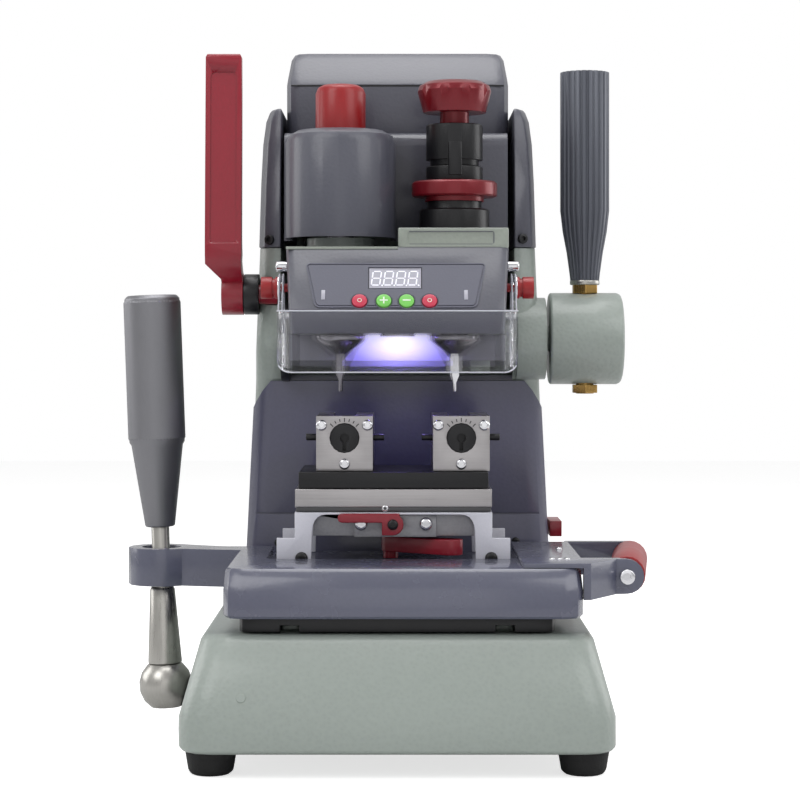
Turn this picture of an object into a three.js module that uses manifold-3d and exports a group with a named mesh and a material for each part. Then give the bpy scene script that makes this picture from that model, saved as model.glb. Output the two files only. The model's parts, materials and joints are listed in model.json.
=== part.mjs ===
// Vertical key duplicating machine: a cutter and a tracer side by side in a head that slides down a
// C-shaped column, above two key vices on a table that slides left-right and front-back.
// Millimetres, +Z up. The operator stands on the -Y side. While the machine is built, X = 0 is the
// column's middle plane, Y = 0 holds the cutter's and tracer's axes, and Z = 0 is the bench.
import * as THREE from "three";
import { mergeVertices } from "three/addons/utils/BufferGeometryUtils.js";
import Module from "manifold-3d";

const wasm = await Module();
wasm.setup();

// ---------------------------------------------------------------- driving dimensions
const gap = 0.3; // kept between solids that touch
const runGap = 0.6; // kept between solids that slide or turn past each other

const foot = { radius: 14.5, toeRadius: 12.5, height: 14, insetX: 17, insetY: 24 };
const base = {
  width: 240, front: -128, back: 190, height: 62, skirt: 19, topInset: 10.5,
  wall: 8, corner: 16, cornerBlock: 36,
};
const column = {
  width: 170, footFlare: 11, sideFlare: 8.5, front: 30, throatFront: 58, back: 172, corner: 12,
  wall: 8, shoulder: 296, channelHalf: 71.5, channelBack: 158, channelFloor: 216,
};
const hood = { top: 382, shoulderInset: 8, skin: 0.5 };
const splash = { thickness: 2, bottom: 78, top: 214, topHalf: 79, seam: 131, sideBack: 6 };
const head = {
  halfWidth: 65, bottom: 243, top: 293.5, back: 25, travel: 30,
  lipZ: 256, lipY: -62, browY: -39, chinY: -50, skin: 3, corner: 5, tuck: 2.6,
};
const toolSpacing = 68.3; // cutter axis to tracer axis, and vice to vice
const tool = { shankRadius: 3, tip: 208.5, noseRadius: 14.9, noseTop: 242.4, noseBottom: 231.2 };
const spindleShaft = { radius: 8, top: 348 };
const spindleCover = { radius: 33, top: 364.5, bottom: 300.3, wall: 3, frontY: 29, shelf: 367 };
const cap = { radius: 15, top: 392, travel: 5 };
const motorCover = { halfWidth: 69, front: 45, back: 150, bottom: 367.5, brow: 398, top: 420, slope: 23 };
const drive = {
  motorY: 98, motorRadius: 34, motorPulley: 17, spindlePulley: 13.5, beltBottom: 331,
  beltWidth: 12, beltThickness: 2.4, plateZ: 346, plateThickness: 6,
};
const tracer = {
  baseRadius: 21, baseTop: 317.7, neckRadius: 16.2, collarRadius: 17, collarTop: 343.2,
  ringRadius: 25.6, ringBottom: 325, ringTop: 334.2, sleeveBottom: 347, sleeveTop: 368.3,
  knobBottom: 375.6, knobTop: 394.8, knobRadius: 22.2, quillRadius: 8.8, keyWidth: 7.9,
};
const pinion = { module: 2, teeth: 20, width: 12, x: 45, y: 50, z: 240.3, shaftRadius: 8 };
const zHub = { radius: 28.4, width: 45, grip: 15.2, gripLength: 129.5, rodRadius: 5.6, lever: 165.4 };
const zLock = { y: 30, z: 267.4, bossRadius: 12.6, bossWidth: 13, spacer: 9, armWidth: 23.3, armTop: 413 };
const shield = { halfWidth: 69, wall: 2.2, front: -70, bottom: 221, top: 256, pivotY: -30, pivotZ: 270, ear: 8 };
const knob = { radius: 6.4, length: 10.5, pin: 2.5 };
const button = { radius: 4.5, proud: 1.8, travel: 1, row: 6.2, places: [-21.7, -7.8, 5.3, 18.5] };
const slide = {
  plateHeight: 8, halfWidth: 88, front: -98, back: 28, xRailHalfWidth: 6, xRailHalfLength: 70,
  yRailX: 60, yRailHalfWidth: 5, yRailHeight: 4.5, yTravel: 13,
};
const table = {
  restX: 3.2, halfWidth: 100, front: -108, back: 35, bottom: 85.4, top: 112.5,
  bevel: 7, panDepth: 3, panFront: -44.5, roof: 5.5, wall: 8,
};
const lever = {
  clearOfBase: 25, y: 32, lean: 2.1, ringRadius: 20, ringBore: 12, armBottom: 90, rodRadius: 5.5, gripRadius: 17,
  gripBottom: 97, gripLength: 142, knurlLength: 90, ballRadius: 16.5, ballZ: 28, footRadius: 10.4, bossRadius: 10,
};
const fork = {
  frontX: 130.1, frontY: -70.5, backX: 143.3, backY: 37.5, axisZ: 105.4, eyeRadius: 9.8, rollerRadius: 10.8,
  thickness: 7, plateLeft: 70, plateFront: -99, plateThickness: 2.5, axleRadius: 3,
};
const bridge = { x: -2.3, front: -40, back: 30, halfWidth: 57.5, footHalf: 68, footHeight: 14.2, leg: 9.5, height: 29.2, roof: 1.2 };
const bed = { halfWidth: 57.3, front: -40, back: 34, height: 13.3 };
const rail = { halfWidth: 55.3, front: -38, back: 36, height: 9.5 };
const vice = {
  width: 33.2, front: -34, back: 34, height: 32.3, frontWall: 9.8, jawHeight: 18.6,
  slotLeft: -7, slotRight: 6, jawTravel: 5, screwRadius: 8.4, screwDrop: 12.9, screwDepth: 8.6, jawRelief: 0.5,
};
const bedLock = { x: -2.7, z: 132.3, hubRadius: 6.3, reach: 32, thickness: 4.5 };
const tableLock = { x: -4, y: -10, reach: 43, angle: -34, thickness: 9, endRadius: 6.5 };
const sideLock = { y: 100, z: 120.5, reach: 34, thickness: 7.4, height: 9.6, standoff: 0.5 };
const rearCover = { halfWidth: 70, bottom: 100, top: 282, thickness: 3 };
const inlet = { x: -38, z: 128, width: 24, height: 16, frame: 2.5, depth: 9 };
const rocker = { x: 40, z: 128, width: 18.4, height: 12, depth: 9, room: 1.1 };

// ---------------------------------------------------------------- sizes that follow
const baseTop = foot.height + base.height;
const columnBottom = baseTop + gap;
const toolX = toolSpacing / 2;
const slideBottom = baseTop + 1;
const slideTop = slideBottom + slide.plateHeight;
const panFloor = table.top - table.panDepth;
const bridgeBottom = panFloor + gap;
const bridgeTop = bridgeBottom + bridge.height;
const bedBottom = bridgeTop + gap;
const railBottom = bedBottom + bed.height + gap;
const viceBottom = railBottom + rail.height + gap;
const viceTop = viceBottom + vice.height;
const jawFloor = viceTop - vice.jawHeight;
const screwZ = viceTop - vice.screwDrop;
const pitchRadius = (pinion.module * pinion.teeth) / 2;
const columnSide = column.width / 2;
const hubX = columnSide + 9;
const leverX = -(base.width / 2 + lever.clearOfBase);
const beltTop = drive.beltBottom + drive.beltWidth;

// ---------------------------------------------------------------- materials
const paint = (color, roughness, metalness = 0) =>
  new THREE.MeshStandardMaterial({ color, roughness, metalness });
const materials = {
  paleCasting: paint(0x9ba29a, 0.45),
  darkCasting: paint(0x5c5c66, 0.4),
  greyCasting: paint(0x8d8f90, 0.4),
  blackPart: paint(0x18181a, 0.5),
  rubber: paint(0x151515, 0.85),
  redPlastic: paint(0xb01422, 0.35),
  redPaint: paint(0xa8102c, 0.35),
  greenPlastic: paint(0x59b04a, 0.4),
  steel: paint(0xa7a39a, 0.35, 0.9),
  chrome: paint(0xdcdcdc, 0.15, 1),
  aluminium: paint(0xd9dae2, 0.4, 0.4),
  knurledAluminium: paint(0x8f8f93, 0.45, 0.8),
  brass: paint(0xb99a55, 0.3, 0.9),
  clear: paint(0xe8eef2, 0.1),
};

// ---------------------------------------------------------------- solids
// A closed three.js geometry as a manifold solid, with its faces pointing out.
function solid(geometry) {
  const bare = geometry.index ? geometry.toNonIndexed() : geometry.clone();
  bare.deleteAttribute("normal");
  bare.deleteAttribute("uv");
  const merged = mergeVertices(bare, 1e-4);
  const vertProperties = new Float32Array(merged.attributes.position.array);
  const triVerts = new Uint32Array(merged.index.array);
  const made = new wasm.Manifold(new wasm.Mesh({ numProp: 3, vertProperties, triVerts }));
  if (made.volume() > 0) return made;
  for (let i = 0; i < triVerts.length; i += 3) {
    [triVerts[i + 1], triVerts[i + 2]] = [triVerts[i + 2], triVerts[i + 1]];
  }
  return new wasm.Manifold(new wasm.Mesh({ numProp: 3, vertProperties, triVerts }));
}

const join = (first, ...rest) => rest.reduce((a, b) => a.add(b), first);
const cut = (first, ...rest) => rest.reduce((a, b) => a.subtract(b), first);

function block(x0, x1, y0, y1, z0, z1) {
  const box = new THREE.BoxGeometry(x1 - x0, y1 - y0, z1 - z0);
  return solid(box.translate((x0 + x1) / 2, (y0 + y1) / 2, (z0 + z1) / 2));
}

const facets = (radius) => Math.max(12, Math.min(24, 4 * Math.round(radius / 5 + 2.5)));

function rodZ(x, y, z0, z1, radius, topRadius = radius, sides = facets(radius)) {
  const rod = new THREE.CylinderGeometry(topRadius, radius, z1 - z0, sides);
  return solid(rod.rotateX(Math.PI / 2).translate(x, y, (z0 + z1) / 2));
}

function rodX(y, z, x0, x1, radius, sides = facets(radius)) {
  const rod = new THREE.CylinderGeometry(radius, radius, x1 - x0, sides);
  return solid(rod.rotateZ(Math.PI / 2).translate((x0 + x1) / 2, y, z));
}

function rodY(x, z, y0, y1, radius, sides = facets(radius)) {
  return solid(new THREE.CylinderGeometry(radius, radius, y1 - y0, sides).translate(x, (y0 + y1) / 2, z));
}

// A profile of [radius, height] points turned about Z.
function turned(points, sides = 24) {
  const profile = points.map(([r, z]) => new THREE.Vector2(r, z));
  return solid(new THREE.LatheGeometry(profile, sides).rotateX(Math.PI / 2));
}

const outline = (points) => new THREE.Shape(points.map(([a, b]) => new THREE.Vector2(a, b)));

function extruded(shape, depth, basis, origin, curveSegments = 5) {
  const flat = new THREE.ExtrudeGeometry(shape, { depth, bevelEnabled: false, curveSegments });
  const frame = new THREE.Matrix4().makeBasis(...basis.map((v) => new THREE.Vector3(...v)));
  return solid(flat.applyMatrix4(frame.setPosition(...origin)));
}

// Shapes drawn in (x, y), (y, z) and (x, z), given their thickness along the third axis.
const alongZ = (shape, z0, z1) => extruded(shape, z1 - z0, [[1, 0, 0], [0, 1, 0], [0, 0, 1]], [0, 0, z0]);
const alongX = (shape, x0, x1) => extruded(shape, x1 - x0, [[0, 1, 0], [0, 0, 1], [1, 0, 0]], [x0, 0, 0]);
const alongY = (shape, y0, y1) => extruded(shape, y1 - y0, [[1, 0, 0], [0, 0, 1], [0, -1, 0]], [0, y1, 0]);

// A closed loft through rounded rectangles: { z, x0, x1, y0, y1, r }.
function loft(sections, cornerSteps = 2) {
  const positions = [];
  const ringOf = ({ z, x0, x1, y0, y1, r }) => {
    const corners = [[x1 - r, y1 - r, 0], [x0 + r, y1 - r, 1], [x0 + r, y0 + r, 2], [x1 - r, y0 + r, 3]];
    return corners.flatMap(([cx, cy, quarter]) =>
      Array.from({ length: cornerSteps + 1 }, (_, i) => {
        const turn = ((quarter + i / cornerSteps) * Math.PI) / 2;
        return [cx + r * Math.cos(turn), cy + r * Math.sin(turn), z];
      }),
    );
  };
  const rings = sections.map(ringOf);
  const tri = (a, b, c) => positions.push(...a, ...b, ...c);
  for (let k = 0; k + 1 < rings.length; k++) {
    rings[k].forEach((a, i) => {
      const next = (i + 1) % rings[k].length;
      const [b, c, d] = [rings[k][next], rings[k + 1][next], rings[k + 1][i]];
      tri(a, b, c);
      tri(a, c, d);
    });
  }
  const close = (ring, up) => {
    const mid = [0, 1, 2].map((axis) => ring.reduce((sum, p) => sum + p[axis], 0) / ring.length);
    ring.forEach((a, i) => {
      const b = ring[(i + 1) % ring.length];
      up ? tri(mid, a, b) : tri(mid, b, a);
    });
  };
  close(rings[0], false);
  close(rings[rings.length - 1], true);
  const geometry = new THREE.BufferGeometry();
  geometry.setAttribute("position", new THREE.Float32BufferAttribute(positions, 3));
  return solid(geometry);
}

const slab = (x0, x1, y0, y1, z0, z1, r, steps = 2) =>
  loft([{ z: z0, x0, x1, y0, y1, r }, { z: z1, x0, x1, y0, y1, r }], steps);

const machine = new THREE.Group();

function piece(name, made, material, parent = machine) {
  const { vertProperties, triVerts } = made.getMesh();
  const geometry = new THREE.BufferGeometry();
  geometry.setAttribute("position", new THREE.BufferAttribute(new Float32Array(vertProperties), 3));
  geometry.setIndex(new THREE.BufferAttribute(new Uint32Array(triVerts), 1));
  geometry.computeVertexNormals();
  const mesh = new THREE.Mesh(geometry, material);
  mesh.name = name;
  parent.add(mesh);
  return mesh;
}

function groupAt(x, y, z, parent = machine) {
  const group = new THREE.Group();
  group.position.set(x, y, z);
  parent.add(group);
  return group;
}

// ---------------------------------------------------------------- base, feet and column
// The base's outside, grown by a distance on every side.
function baseShell(grow) {
  const half = base.width / 2 + grow;
  const section = (z, inset) => ({
    z, x0: -half + inset, x1: half - inset, y0: base.front - grow + inset * 1.8, y1: base.back + grow - inset,
    r: base.corner + grow,
  });
  const bottom = foot.height;
  return loft([
    section(bottom, 2), section(bottom + 2, 0), section(bottom + base.skirt, 0),
    section(baseTop - 3, base.topInset), section(baseTop, base.topInset + 2.5),
  ], 3);
}

function buildBase() {
  const half = base.width / 2;
  const bottom = foot.height;
  const wall = base.wall;
  const inner = (z, inset) => ({
    z, x0: -half + inset, x1: half - inset, y0: base.front + inset * 1.5, y1: base.back - inset, r: base.cornerBlock,
  });
  const hollow = loft([
    inner(bottom - 1, wall), inner(bottom + base.skirt, wall + 1), inner(baseTop - wall, base.topInset + wall),
  ]);
  const inset = slide.yTravel + 3;
  const ways = [-1, 1].map((sx) =>
    block(sx * slide.yRailX - slide.yRailHalfWidth, sx * slide.yRailX + slide.yRailHalfWidth,
      slide.front + inset, slide.back - inset, baseTop - 2, baseTop + slide.yRailHeight));
  piece("base_casting", join(cut(baseShell(0), hollow), ...ways), materials.paleCasting);

  for (const [side, sx] of [["left", -1], ["right", 1]]) {
    for (const [end, y] of [["front", base.front + foot.insetY], ["rear", base.back - foot.insetY]]) {
      const place = groupAt(sx * (half - foot.insetX), y, 0);
      const shape = turned([
        [0, 0], [foot.toeRadius - 2, 0], [foot.toeRadius, 2], [foot.radius, foot.height - gap], [0, foot.height - gap],
      ], 16);
      piece(`foot_${end}_${side}`, shape, materials.rubber, place);
    }
  }
}

// The column's outside, grown by a distance on every side.
function columnShell(grow) {
  const { front, throatFront, back, corner, footFlare, sideFlare, shoulder } = column;
  const section = (z, flare, y0) => ({
    z, x0: -columnSide - flare - grow, x1: columnSide + flare + grow, y0: y0 - grow, y1: back + grow, r: corner + grow,
  });
  return loft([
    section(columnBottom, footFlare, throatFront), section(125, sideFlare, throatFront),
    section(196, sideFlare - 3.5, throatFront), section(214, sideFlare - 4.5, throatFront - 5),
    section(232, sideFlare - 5.7, front + 4), section(242, sideFlare - 6.3, front), section(shoulder, 0, front),
  ], 3);
}

function buildColumn() {
  const { front, throatFront, back, corner, wall } = column;
  const outer = columnShell(0);
  const lower = slab(-columnSide + wall, columnSide - wall, throatFront + wall, back - wall,
    columnBottom - 1, column.channelFloor - wall, corner / 2);
  const channel = block(-column.channelHalf, column.channelHalf, front - 40, column.channelBack,
    column.channelFloor, column.shoulder + 5);
  const leverBore = rodX(pinion.y, pinion.z, 0, columnSide + 10, pinion.shaftRadius + runGap);
  const lockNotch = rodX(zLock.y, zLock.z, -columnSide - 5, -column.channelHalf + 5, 6 + runGap);
  const leverBoss = cut(
    rodX(pinion.y, pinion.z, column.channelHalf + 2, hubX - gap - 2, zHub.radius - 3),
    block(-200, 200, back, back + 40, 0, 400),
  );
  const sideLockBore = rodX(sideLock.y, sideLock.z, columnSide - wall - 2, columnSide + 12, 4 + runGap);
  const rockerRoom = block(rocker.x - 14, rocker.x + 14, back - wall - 1, back + 1, rocker.z - 12, rocker.z + 12);
  piece("column_casting",
    cut(join(outer, leverBoss), lower, channel, leverBore, lockNotch, sideLockBore, rockerRoom),
    materials.paleCasting);
}

function buildHood() {
  const low = column.shoulder + gap;
  const section = (z, inset) => ({
    z, x0: -columnSide - hood.skin + inset, x1: columnSide + hood.skin - inset,
    y0: column.front - 2 + inset * 0.6, y1: column.back + hood.skin - inset, r: column.corner,
  });
  const { top, shoulderInset } = hood;
  const outer = loft([
    section(low, 0), section(336, 1.2), section(360, 2.4), section(top - 8, 4.2), section(top - 2, 6.4),
    section(top, shoulderInset),
  ]);
  const opening = slab(-column.channelHalf, column.channelHalf, column.front - 60, column.channelBack,
    low - 1, top + 1, 8);
  const hollow = slab(-columnSide + 3.5, columnSide - 3.5, column.front + 6, column.back - 3.5, low - 1, top - 20, column.corner);
  const liner = cut(
    block(-column.channelHalf - 3, column.channelHalf + 3, column.front, column.channelBack + 3, low - 1, top),
    opening,
  );
  piece("column_hood", cut(outer, cut(hollow, liner), opening), materials.darkCasting);
}

function buildSplashPanel() {
  const { thickness, top, bottom, seam, sideBack } = splash;
  const outer = columnShell(gap + thickness);
  const groove = cut(
    block(-200, 200, 0, column.throatFront, seam - 0.6, seam + 0.6), columnShell(gap + thickness - 1));
  const half = columnSide + column.footFlare + thickness + 1;
  const face = new THREE.Shape();
  face.moveTo(-half, bottom);
  face.lineTo(half, bottom);
  face.lineTo(half, top - 42);
  face.quadraticCurveTo(half - 6, top - 14, splash.topHalf, top);
  face.lineTo(-splash.topHalf, top);
  face.quadraticCurveTo(-half + 6, top - 14, -half, top - 42);
  face.closePath();
  const fromFront = alongY(face, 0, column.throatFront + sideBack);
  piece("splash_panel", cut(outer.intersect(fromFront), columnShell(gap), groove), materials.darkCasting);
}

function buildRearCover() {
  const y = column.back + gap;
  const plate = slab(-rearCover.halfWidth, rearCover.halfWidth, 0, rearCover.top - rearCover.bottom,
    0, rearCover.thickness, 8);
  const louvres = Array.from({ length: 6 }, (_, i) => block(-40, 20, 60 + i * 9, 63 + i * 9, -1, 9));
  const upright = new THREE.Matrix4().makeBasis(
    new THREE.Vector3(1, 0, 0), new THREE.Vector3(0, 0, 1), new THREE.Vector3(0, -1, 0));
  const sheet = cut(plate, ...louvres).transform(upright.setPosition(0, y + rearCover.thickness, rearCover.bottom).toArray());
  const window = block(rocker.x - rocker.width / 2 - rocker.room, rocker.x + rocker.width / 2 + rocker.room,
    y - 1, y + rearCover.thickness + 1, rocker.z - rocker.height / 2 - rocker.room,
    rocker.z + rocker.height / 2 + rocker.room);
  piece("rear_cover", cut(sheet, window), materials.blackPart);

  const { width, height, depth } = rocker;
  const side = outline([
    [-depth / 2, -height / 2], [depth / 2 - 1.4, -height / 2], [depth / 2, 0],
    [depth / 2 - 1.4, height / 2], [-depth / 2, height / 2],
  ]);
  piece("power_rocker", alongX(side, -width / 2, width / 2), materials.redPlastic,
    groupAt(rocker.x, y + rearCover.thickness - 1, rocker.z));
}

function buildPowerInlet() {
  const y = column.back + gap + rearCover.thickness + gap;
  const { x, z, width, height, depth, frame } = inlet;
  const body = slab(x - width / 2 - frame, x + width / 2 + frame, 0, height + 2 * frame, 0, depth, 3);
  const turnUp = new THREE.Matrix4().makeBasis(
    new THREE.Vector3(1, 0, 0), new THREE.Vector3(0, 0, 1), new THREE.Vector3(0, -1, 0));
  const housing = body.transform(turnUp.setPosition(0, y + depth, z - height / 2 - frame).toArray());
  const socket = block(x - width / 2, x + width / 2, y + 2, y + depth + 1, z - height / 2, z + height / 2);
  const pins = [[-7, 0], [0, 3], [7, 0]].map(([px, pz]) =>
    block(x + px - 1, x + px + 1, y + 1, y + depth - 2.5, z + pz - 2, z + pz + 2));
  piece("power_inlet", join(cut(housing, socket), ...pins), materials.blackPart);
}

// ---------------------------------------------------------------- cross slide and table
const xRailPlaces = [slide.front + 46, slide.back - 22];

function buildCrossSlide(parent) {
  const { halfWidth, front, back } = slide;
  const plate = slab(-halfWidth, halfWidth, front, back, slideBottom, slideTop, 6);
  const ways = xRailPlaces.map((y) =>
    join(
      block(-slide.xRailHalfLength, slide.xRailHalfLength, y - slide.xRailHalfWidth, y + slide.xRailHalfWidth,
        slideTop - 1, slideTop + 3),
      block(-slide.xRailHalfLength, slide.xRailHalfLength, y - slide.xRailHalfWidth + 2, y + slide.xRailHalfWidth - 2,
        slideTop + 2, slideTop + 6),
    ));
  const grooves = [-1, 1].map((sx) =>
    block(sx * slide.yRailX - slide.yRailHalfWidth - gap, sx * slide.yRailX + slide.yRailHalfWidth + gap,
      front - 1, back + 1, slideBottom - 1, baseTop + slide.yRailHeight + gap));
  piece("cross_slide", cut(join(plate, ...ways), ...grooves), materials.blackPart, parent);
}

function buildTable(parent) {
  const { restX, halfWidth, front, back, bottom, top, bevel } = table;
  const left = restX - halfWidth;
  const right = restX + halfWidth;
  const section = (z, inset, forward) => ({
    z, x0: left + inset, x1: right - inset, y0: front + forward, y1: back, r: 11 - inset,
  });
  const tray = loft([
    section(bottom, 1.5, 1.5), section(bottom + 1.5, 0, 0), section(top - 12, 0, 0),
    section(top - 1.6, 0.8, bevel - 0.8), section(top, 2.2, bevel + 1),
  ]);

  const arm = new THREE.Shape();
  const { y, ringRadius } = lever;
  const x = leverX;
  const armBack = back - 1;
  arm.moveTo(left + 8, y - 23);
  arm.quadraticCurveTo(left - 12, y - 21, x + 14, y - 14.4);
  arm.absarc(x, y, ringRadius, -0.8, 0.95, true);
  arm.quadraticCurveTo(left - 20, armBack + 4, left - 8, armBack);
  arm.lineTo(left + 8, armBack);
  arm.closePath();
  const ringArm = alongZ(arm, lever.armBottom, top);
  const leverHole = rodZ(x, y, lever.armBottom - 1, top + 1, lever.ringBore);

  const pan = slab(bridge.x - bridge.footHalf - 6, bridge.x + bridge.footHalf + 4, table.panFront, back + 20,
    panFloor, top + 5, 5);
  const { wall } = table;
  const roofZ = panFloor - table.roof;
  const below = slab(left + wall, right - wall, front + wall, back - wall + 2, bottom - 1, roofZ, 6);
  const runners = xRailPlaces.map((railY) => {
    const half = slide.xRailHalfWidth;
    return cut(
      block(left + wall - 1, right - wall + 1, railY - half - 5, railY + half + 5, slideTop + gap + 0.4, roofZ + 1),
      block(-200, 200, railY - half - gap, railY + half + gap, 0, slideTop + 3.6),
      block(-200, 200, railY - half + 2 - gap, railY + half - 2 + gap, 0, slideTop + 6.5),
    );
  });
  piece("table_tray", cut(join(tray, ringArm), pan, cut(below, ...runners), leverHole),
    materials.darkCasting, parent);
}

const leverLean = THREE.MathUtils.degToRad(lever.lean);
const leverBallX = leverX + ((lever.armBottom + table.top) / 2 - lever.ballZ) * Math.tan(leverLean);

function buildHandLever() {
  const { ballRadius, ballZ, rodRadius, gripBottom, gripLength, knurlLength, gripRadius } = lever;
  const ball = groupAt(leverBallX, lever.y, ballZ);
  ball.rotation.y = -leverLean;
  const arc = Array.from({ length: 8 }, (_, i) => {
    const turn = THREE.MathUtils.degToRad(-55 + (i * 145) / 7);
    return [Math.max(0, ballRadius * Math.cos(turn)), ballRadius * Math.sin(turn)];
  });
  piece("lever_ball", turned([[0, arc[0][1]], ...arc], 20), materials.steel, ball);

  const seatRadius = ballRadius + gap + 0.2;
  const coneFoot = lever.footRadius;
  const seatTurn = Math.asin(coneFoot / seatRadius);
  const seat = Array.from({ length: 4 }, (_, i) => {
    const turn = (seatTurn * i) / 3;
    return [seatRadius * Math.sin(turn), seatRadius * Math.cos(turn)];
  });
  const arm = lever.armBottom - ballZ;
  const rodTop = gripBottom + 34;
  piece("lever_rod", turned([
    ...seat, [coneFoot, seat[3][1] + 1], [7.6, arm - 3.5], [6.8, arm - 2], [rodRadius, arm - 2],
    [rodRadius, rodTop], [0, rodTop],
  ], 16), materials.steel, ball);
  const top = gripBottom + gripLength;
  const cone = top - knurlLength;
  piece("lever_grip", turned([
    [rodRadius + gap, gripBottom], [8.6, gripBottom], [9.2, gripBottom + 1], [gripRadius - 1.2, cone - 2],
    [gripRadius, cone], [gripRadius, top - 2], [gripRadius - 2, top], [0, top], [0, rodTop + gap],
    [rodRadius + gap, rodTop + gap], [rodRadius + gap, gripBottom],
  ], 20), materials.knurledAluminium, ball);

  const socket = solid(new THREE.SphereGeometry(ballRadius + gap + 0.2, 20, 12)).transform(
    new THREE.Matrix4().makeTranslation(leverBallX, lever.y, ballZ).toArray());
  const bossZ = ballZ - 4;
  piece("lever_bracket",
    cut(rodX(lever.y, bossZ, leverBallX + ballRadius - 6.5, -base.width / 2 + 12, lever.bossRadius), socket, baseShell(gap)),
    materials.blackPart);
}

function buildRollerGrip(parent) {
  const right = table.restX + table.halfWidth;
  const { frontX, frontY, backX, backY, axisZ, eyeRadius, thickness, axleRadius } = fork;
  const turn = Math.atan2(backX - frontX, backY - frontY);
  const plateZ = table.top + gap;
  const plateTop = plateZ + fork.plateThickness;
  const middle = [(frontX + backX) / 2, (frontY + backY) / 2];
  const span = Math.hypot(backX - frontX, backY - frontY);
  const sideProfile = (x, left, y0, y1) => {
    const shape = new THREE.Shape();
    shape.moveTo(left, axisZ - eyeRadius - 0.8);
    shape.lineTo(x, axisZ - eyeRadius);
    shape.absarc(x, axisZ, eyeRadius, -Math.PI / 2, Math.PI / 2, false);
    shape.lineTo(x, plateTop);
    shape.lineTo(left, plateTop);
    shape.closePath();
    return alongY(shape, y0, y1);
  };
  const { plateFront, plateLeft } = fork;
  const half = thickness / 2;
  const faceY = frontY - half;
  const root = right + 0.4;
  const bent = outline([
    [root, plateFront], [root + 4, plateFront], [frontX - 6, faceY], [frontX + 20, faceY], [frontX + 20, faceY + thickness],
    [frontX - 10, faceY + thickness], [root + 1, plateFront + thickness], [root, plateFront + thickness],
  ]);
  const frontProng = alongZ(bent, 0, plateTop).intersect(sideProfile(frontX, right - 5, plateFront - 1, 0));
  const backProng = sideProfile(backX, root, backY - half, backY + half);
  const plate = outline([
    [plateLeft, plateFront], [root + 4, plateFront], [frontX - 6, faceY], [frontX - 3, faceY],
    [frontX - 3, faceY + thickness + 1], [root + 1, faceY + thickness + 1], [root + 1, backY - half],
    [backX - 16, backY - half], [backX - 16, backY + half], [right, backY + half], [right - 1, table.back - 1],
    [plateLeft, table.back - 1],
  ]);
  const axle = rodY(0, 0, -span / 2, span / 2, axleRadius).transform(
    new THREE.Matrix4().makeRotationZ(-turn).setPosition(middle[0], middle[1], axisZ).toArray());
  const prongs = join(frontProng, backProng, axle);
  const keepOff = block(-200, right + gap, -200, 200, 0, plateZ);
  piece("grip_bracket", cut(join(prongs, alongZ(plate, plateZ, plateTop)), keepOff), materials.darkCasting, parent);

  const place = groupAt(middle[0], middle[1], axisZ, parent);
  place.rotation.z = -turn;
  const reach = span / 2 - (half + gap) / Math.cos(turn) - fork.rollerRadius * Math.tan(turn);
  const tube = cut(rodY(0, 0, -reach, reach, fork.rollerRadius), rodY(0, 0, -reach - 1, reach + 1, axleRadius + gap));
  piece("grip_roller", tube, materials.redPlastic, place);
}

function buildBridge(parent) {
  const { x, front, back, halfWidth, footHalf, footHeight, leg, height, roof } = bridge;
  const place = groupAt(x, 0, bridgeBottom, parent);
  const arch = new THREE.Shape();
  arch.moveTo(-footHalf, 0);
  arch.lineTo(-footHalf, footHeight);
  arch.lineTo(-halfWidth, footHeight);
  arch.lineTo(-halfWidth, height);
  arch.lineTo(halfWidth, height);
  arch.lineTo(halfWidth, footHeight);
  arch.lineTo(footHalf, footHeight);
  arch.lineTo(footHalf, 0);
  const inner = halfWidth - leg;
  const crown = height - roof;
  arch.lineTo(inner, 0);
  arch.lineTo(inner - 0.5, crown - 10);
  arch.quadraticCurveTo(inner - 1, crown, inner - 9, crown);
  arch.lineTo(-inner + 9, crown);
  arch.quadraticCurveTo(-inner + 1, crown, -inner + 0.5, crown - 10);
  arch.lineTo(-inner, 0);
  arch.closePath();
  const walls = alongY(arch, front, back);
  const between = block(-footHalf - 1, footHalf + 1, front + 4, back - 4, -1, crown);
  piece("bridge", cut(walls, between), materials.aluminium, place);

  const hang = height - roof - gap;
  const lockShaft = rodY(bedLock.x - x, bedLock.z - bridgeBottom, front - 1, front + 30, 3 + gap);
  piece("pivot_block", cut(
    join(
      block(-inner + 1, inner - 1, front + 6, back - 5, hang - 12.5, hang),
      block(-23, 25, front + 3.4, front + 7, hang - 13, hang - 0.2),
    ), lockShaft), materials.greyCasting, place);

  piece("vice_bed", join(
    block(-bed.halfWidth, bed.halfWidth, bed.front, bed.back, bedBottom - bridgeBottom + 2.8, railBottom - bridgeBottom - gap),
    block(-bed.halfWidth + 0.5, bed.halfWidth - 0.5, bed.front + 1, bed.back - 1, bedBottom - bridgeBottom, bedBottom - bridgeBottom + 3),
  ), materials.steel, place);
  piece("vice_rail",
    block(-rail.halfWidth, rail.halfWidth, rail.front, rail.back, railBottom - bridgeBottom, viceBottom - bridgeBottom - gap),
    materials.blackPart, place);
}

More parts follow.
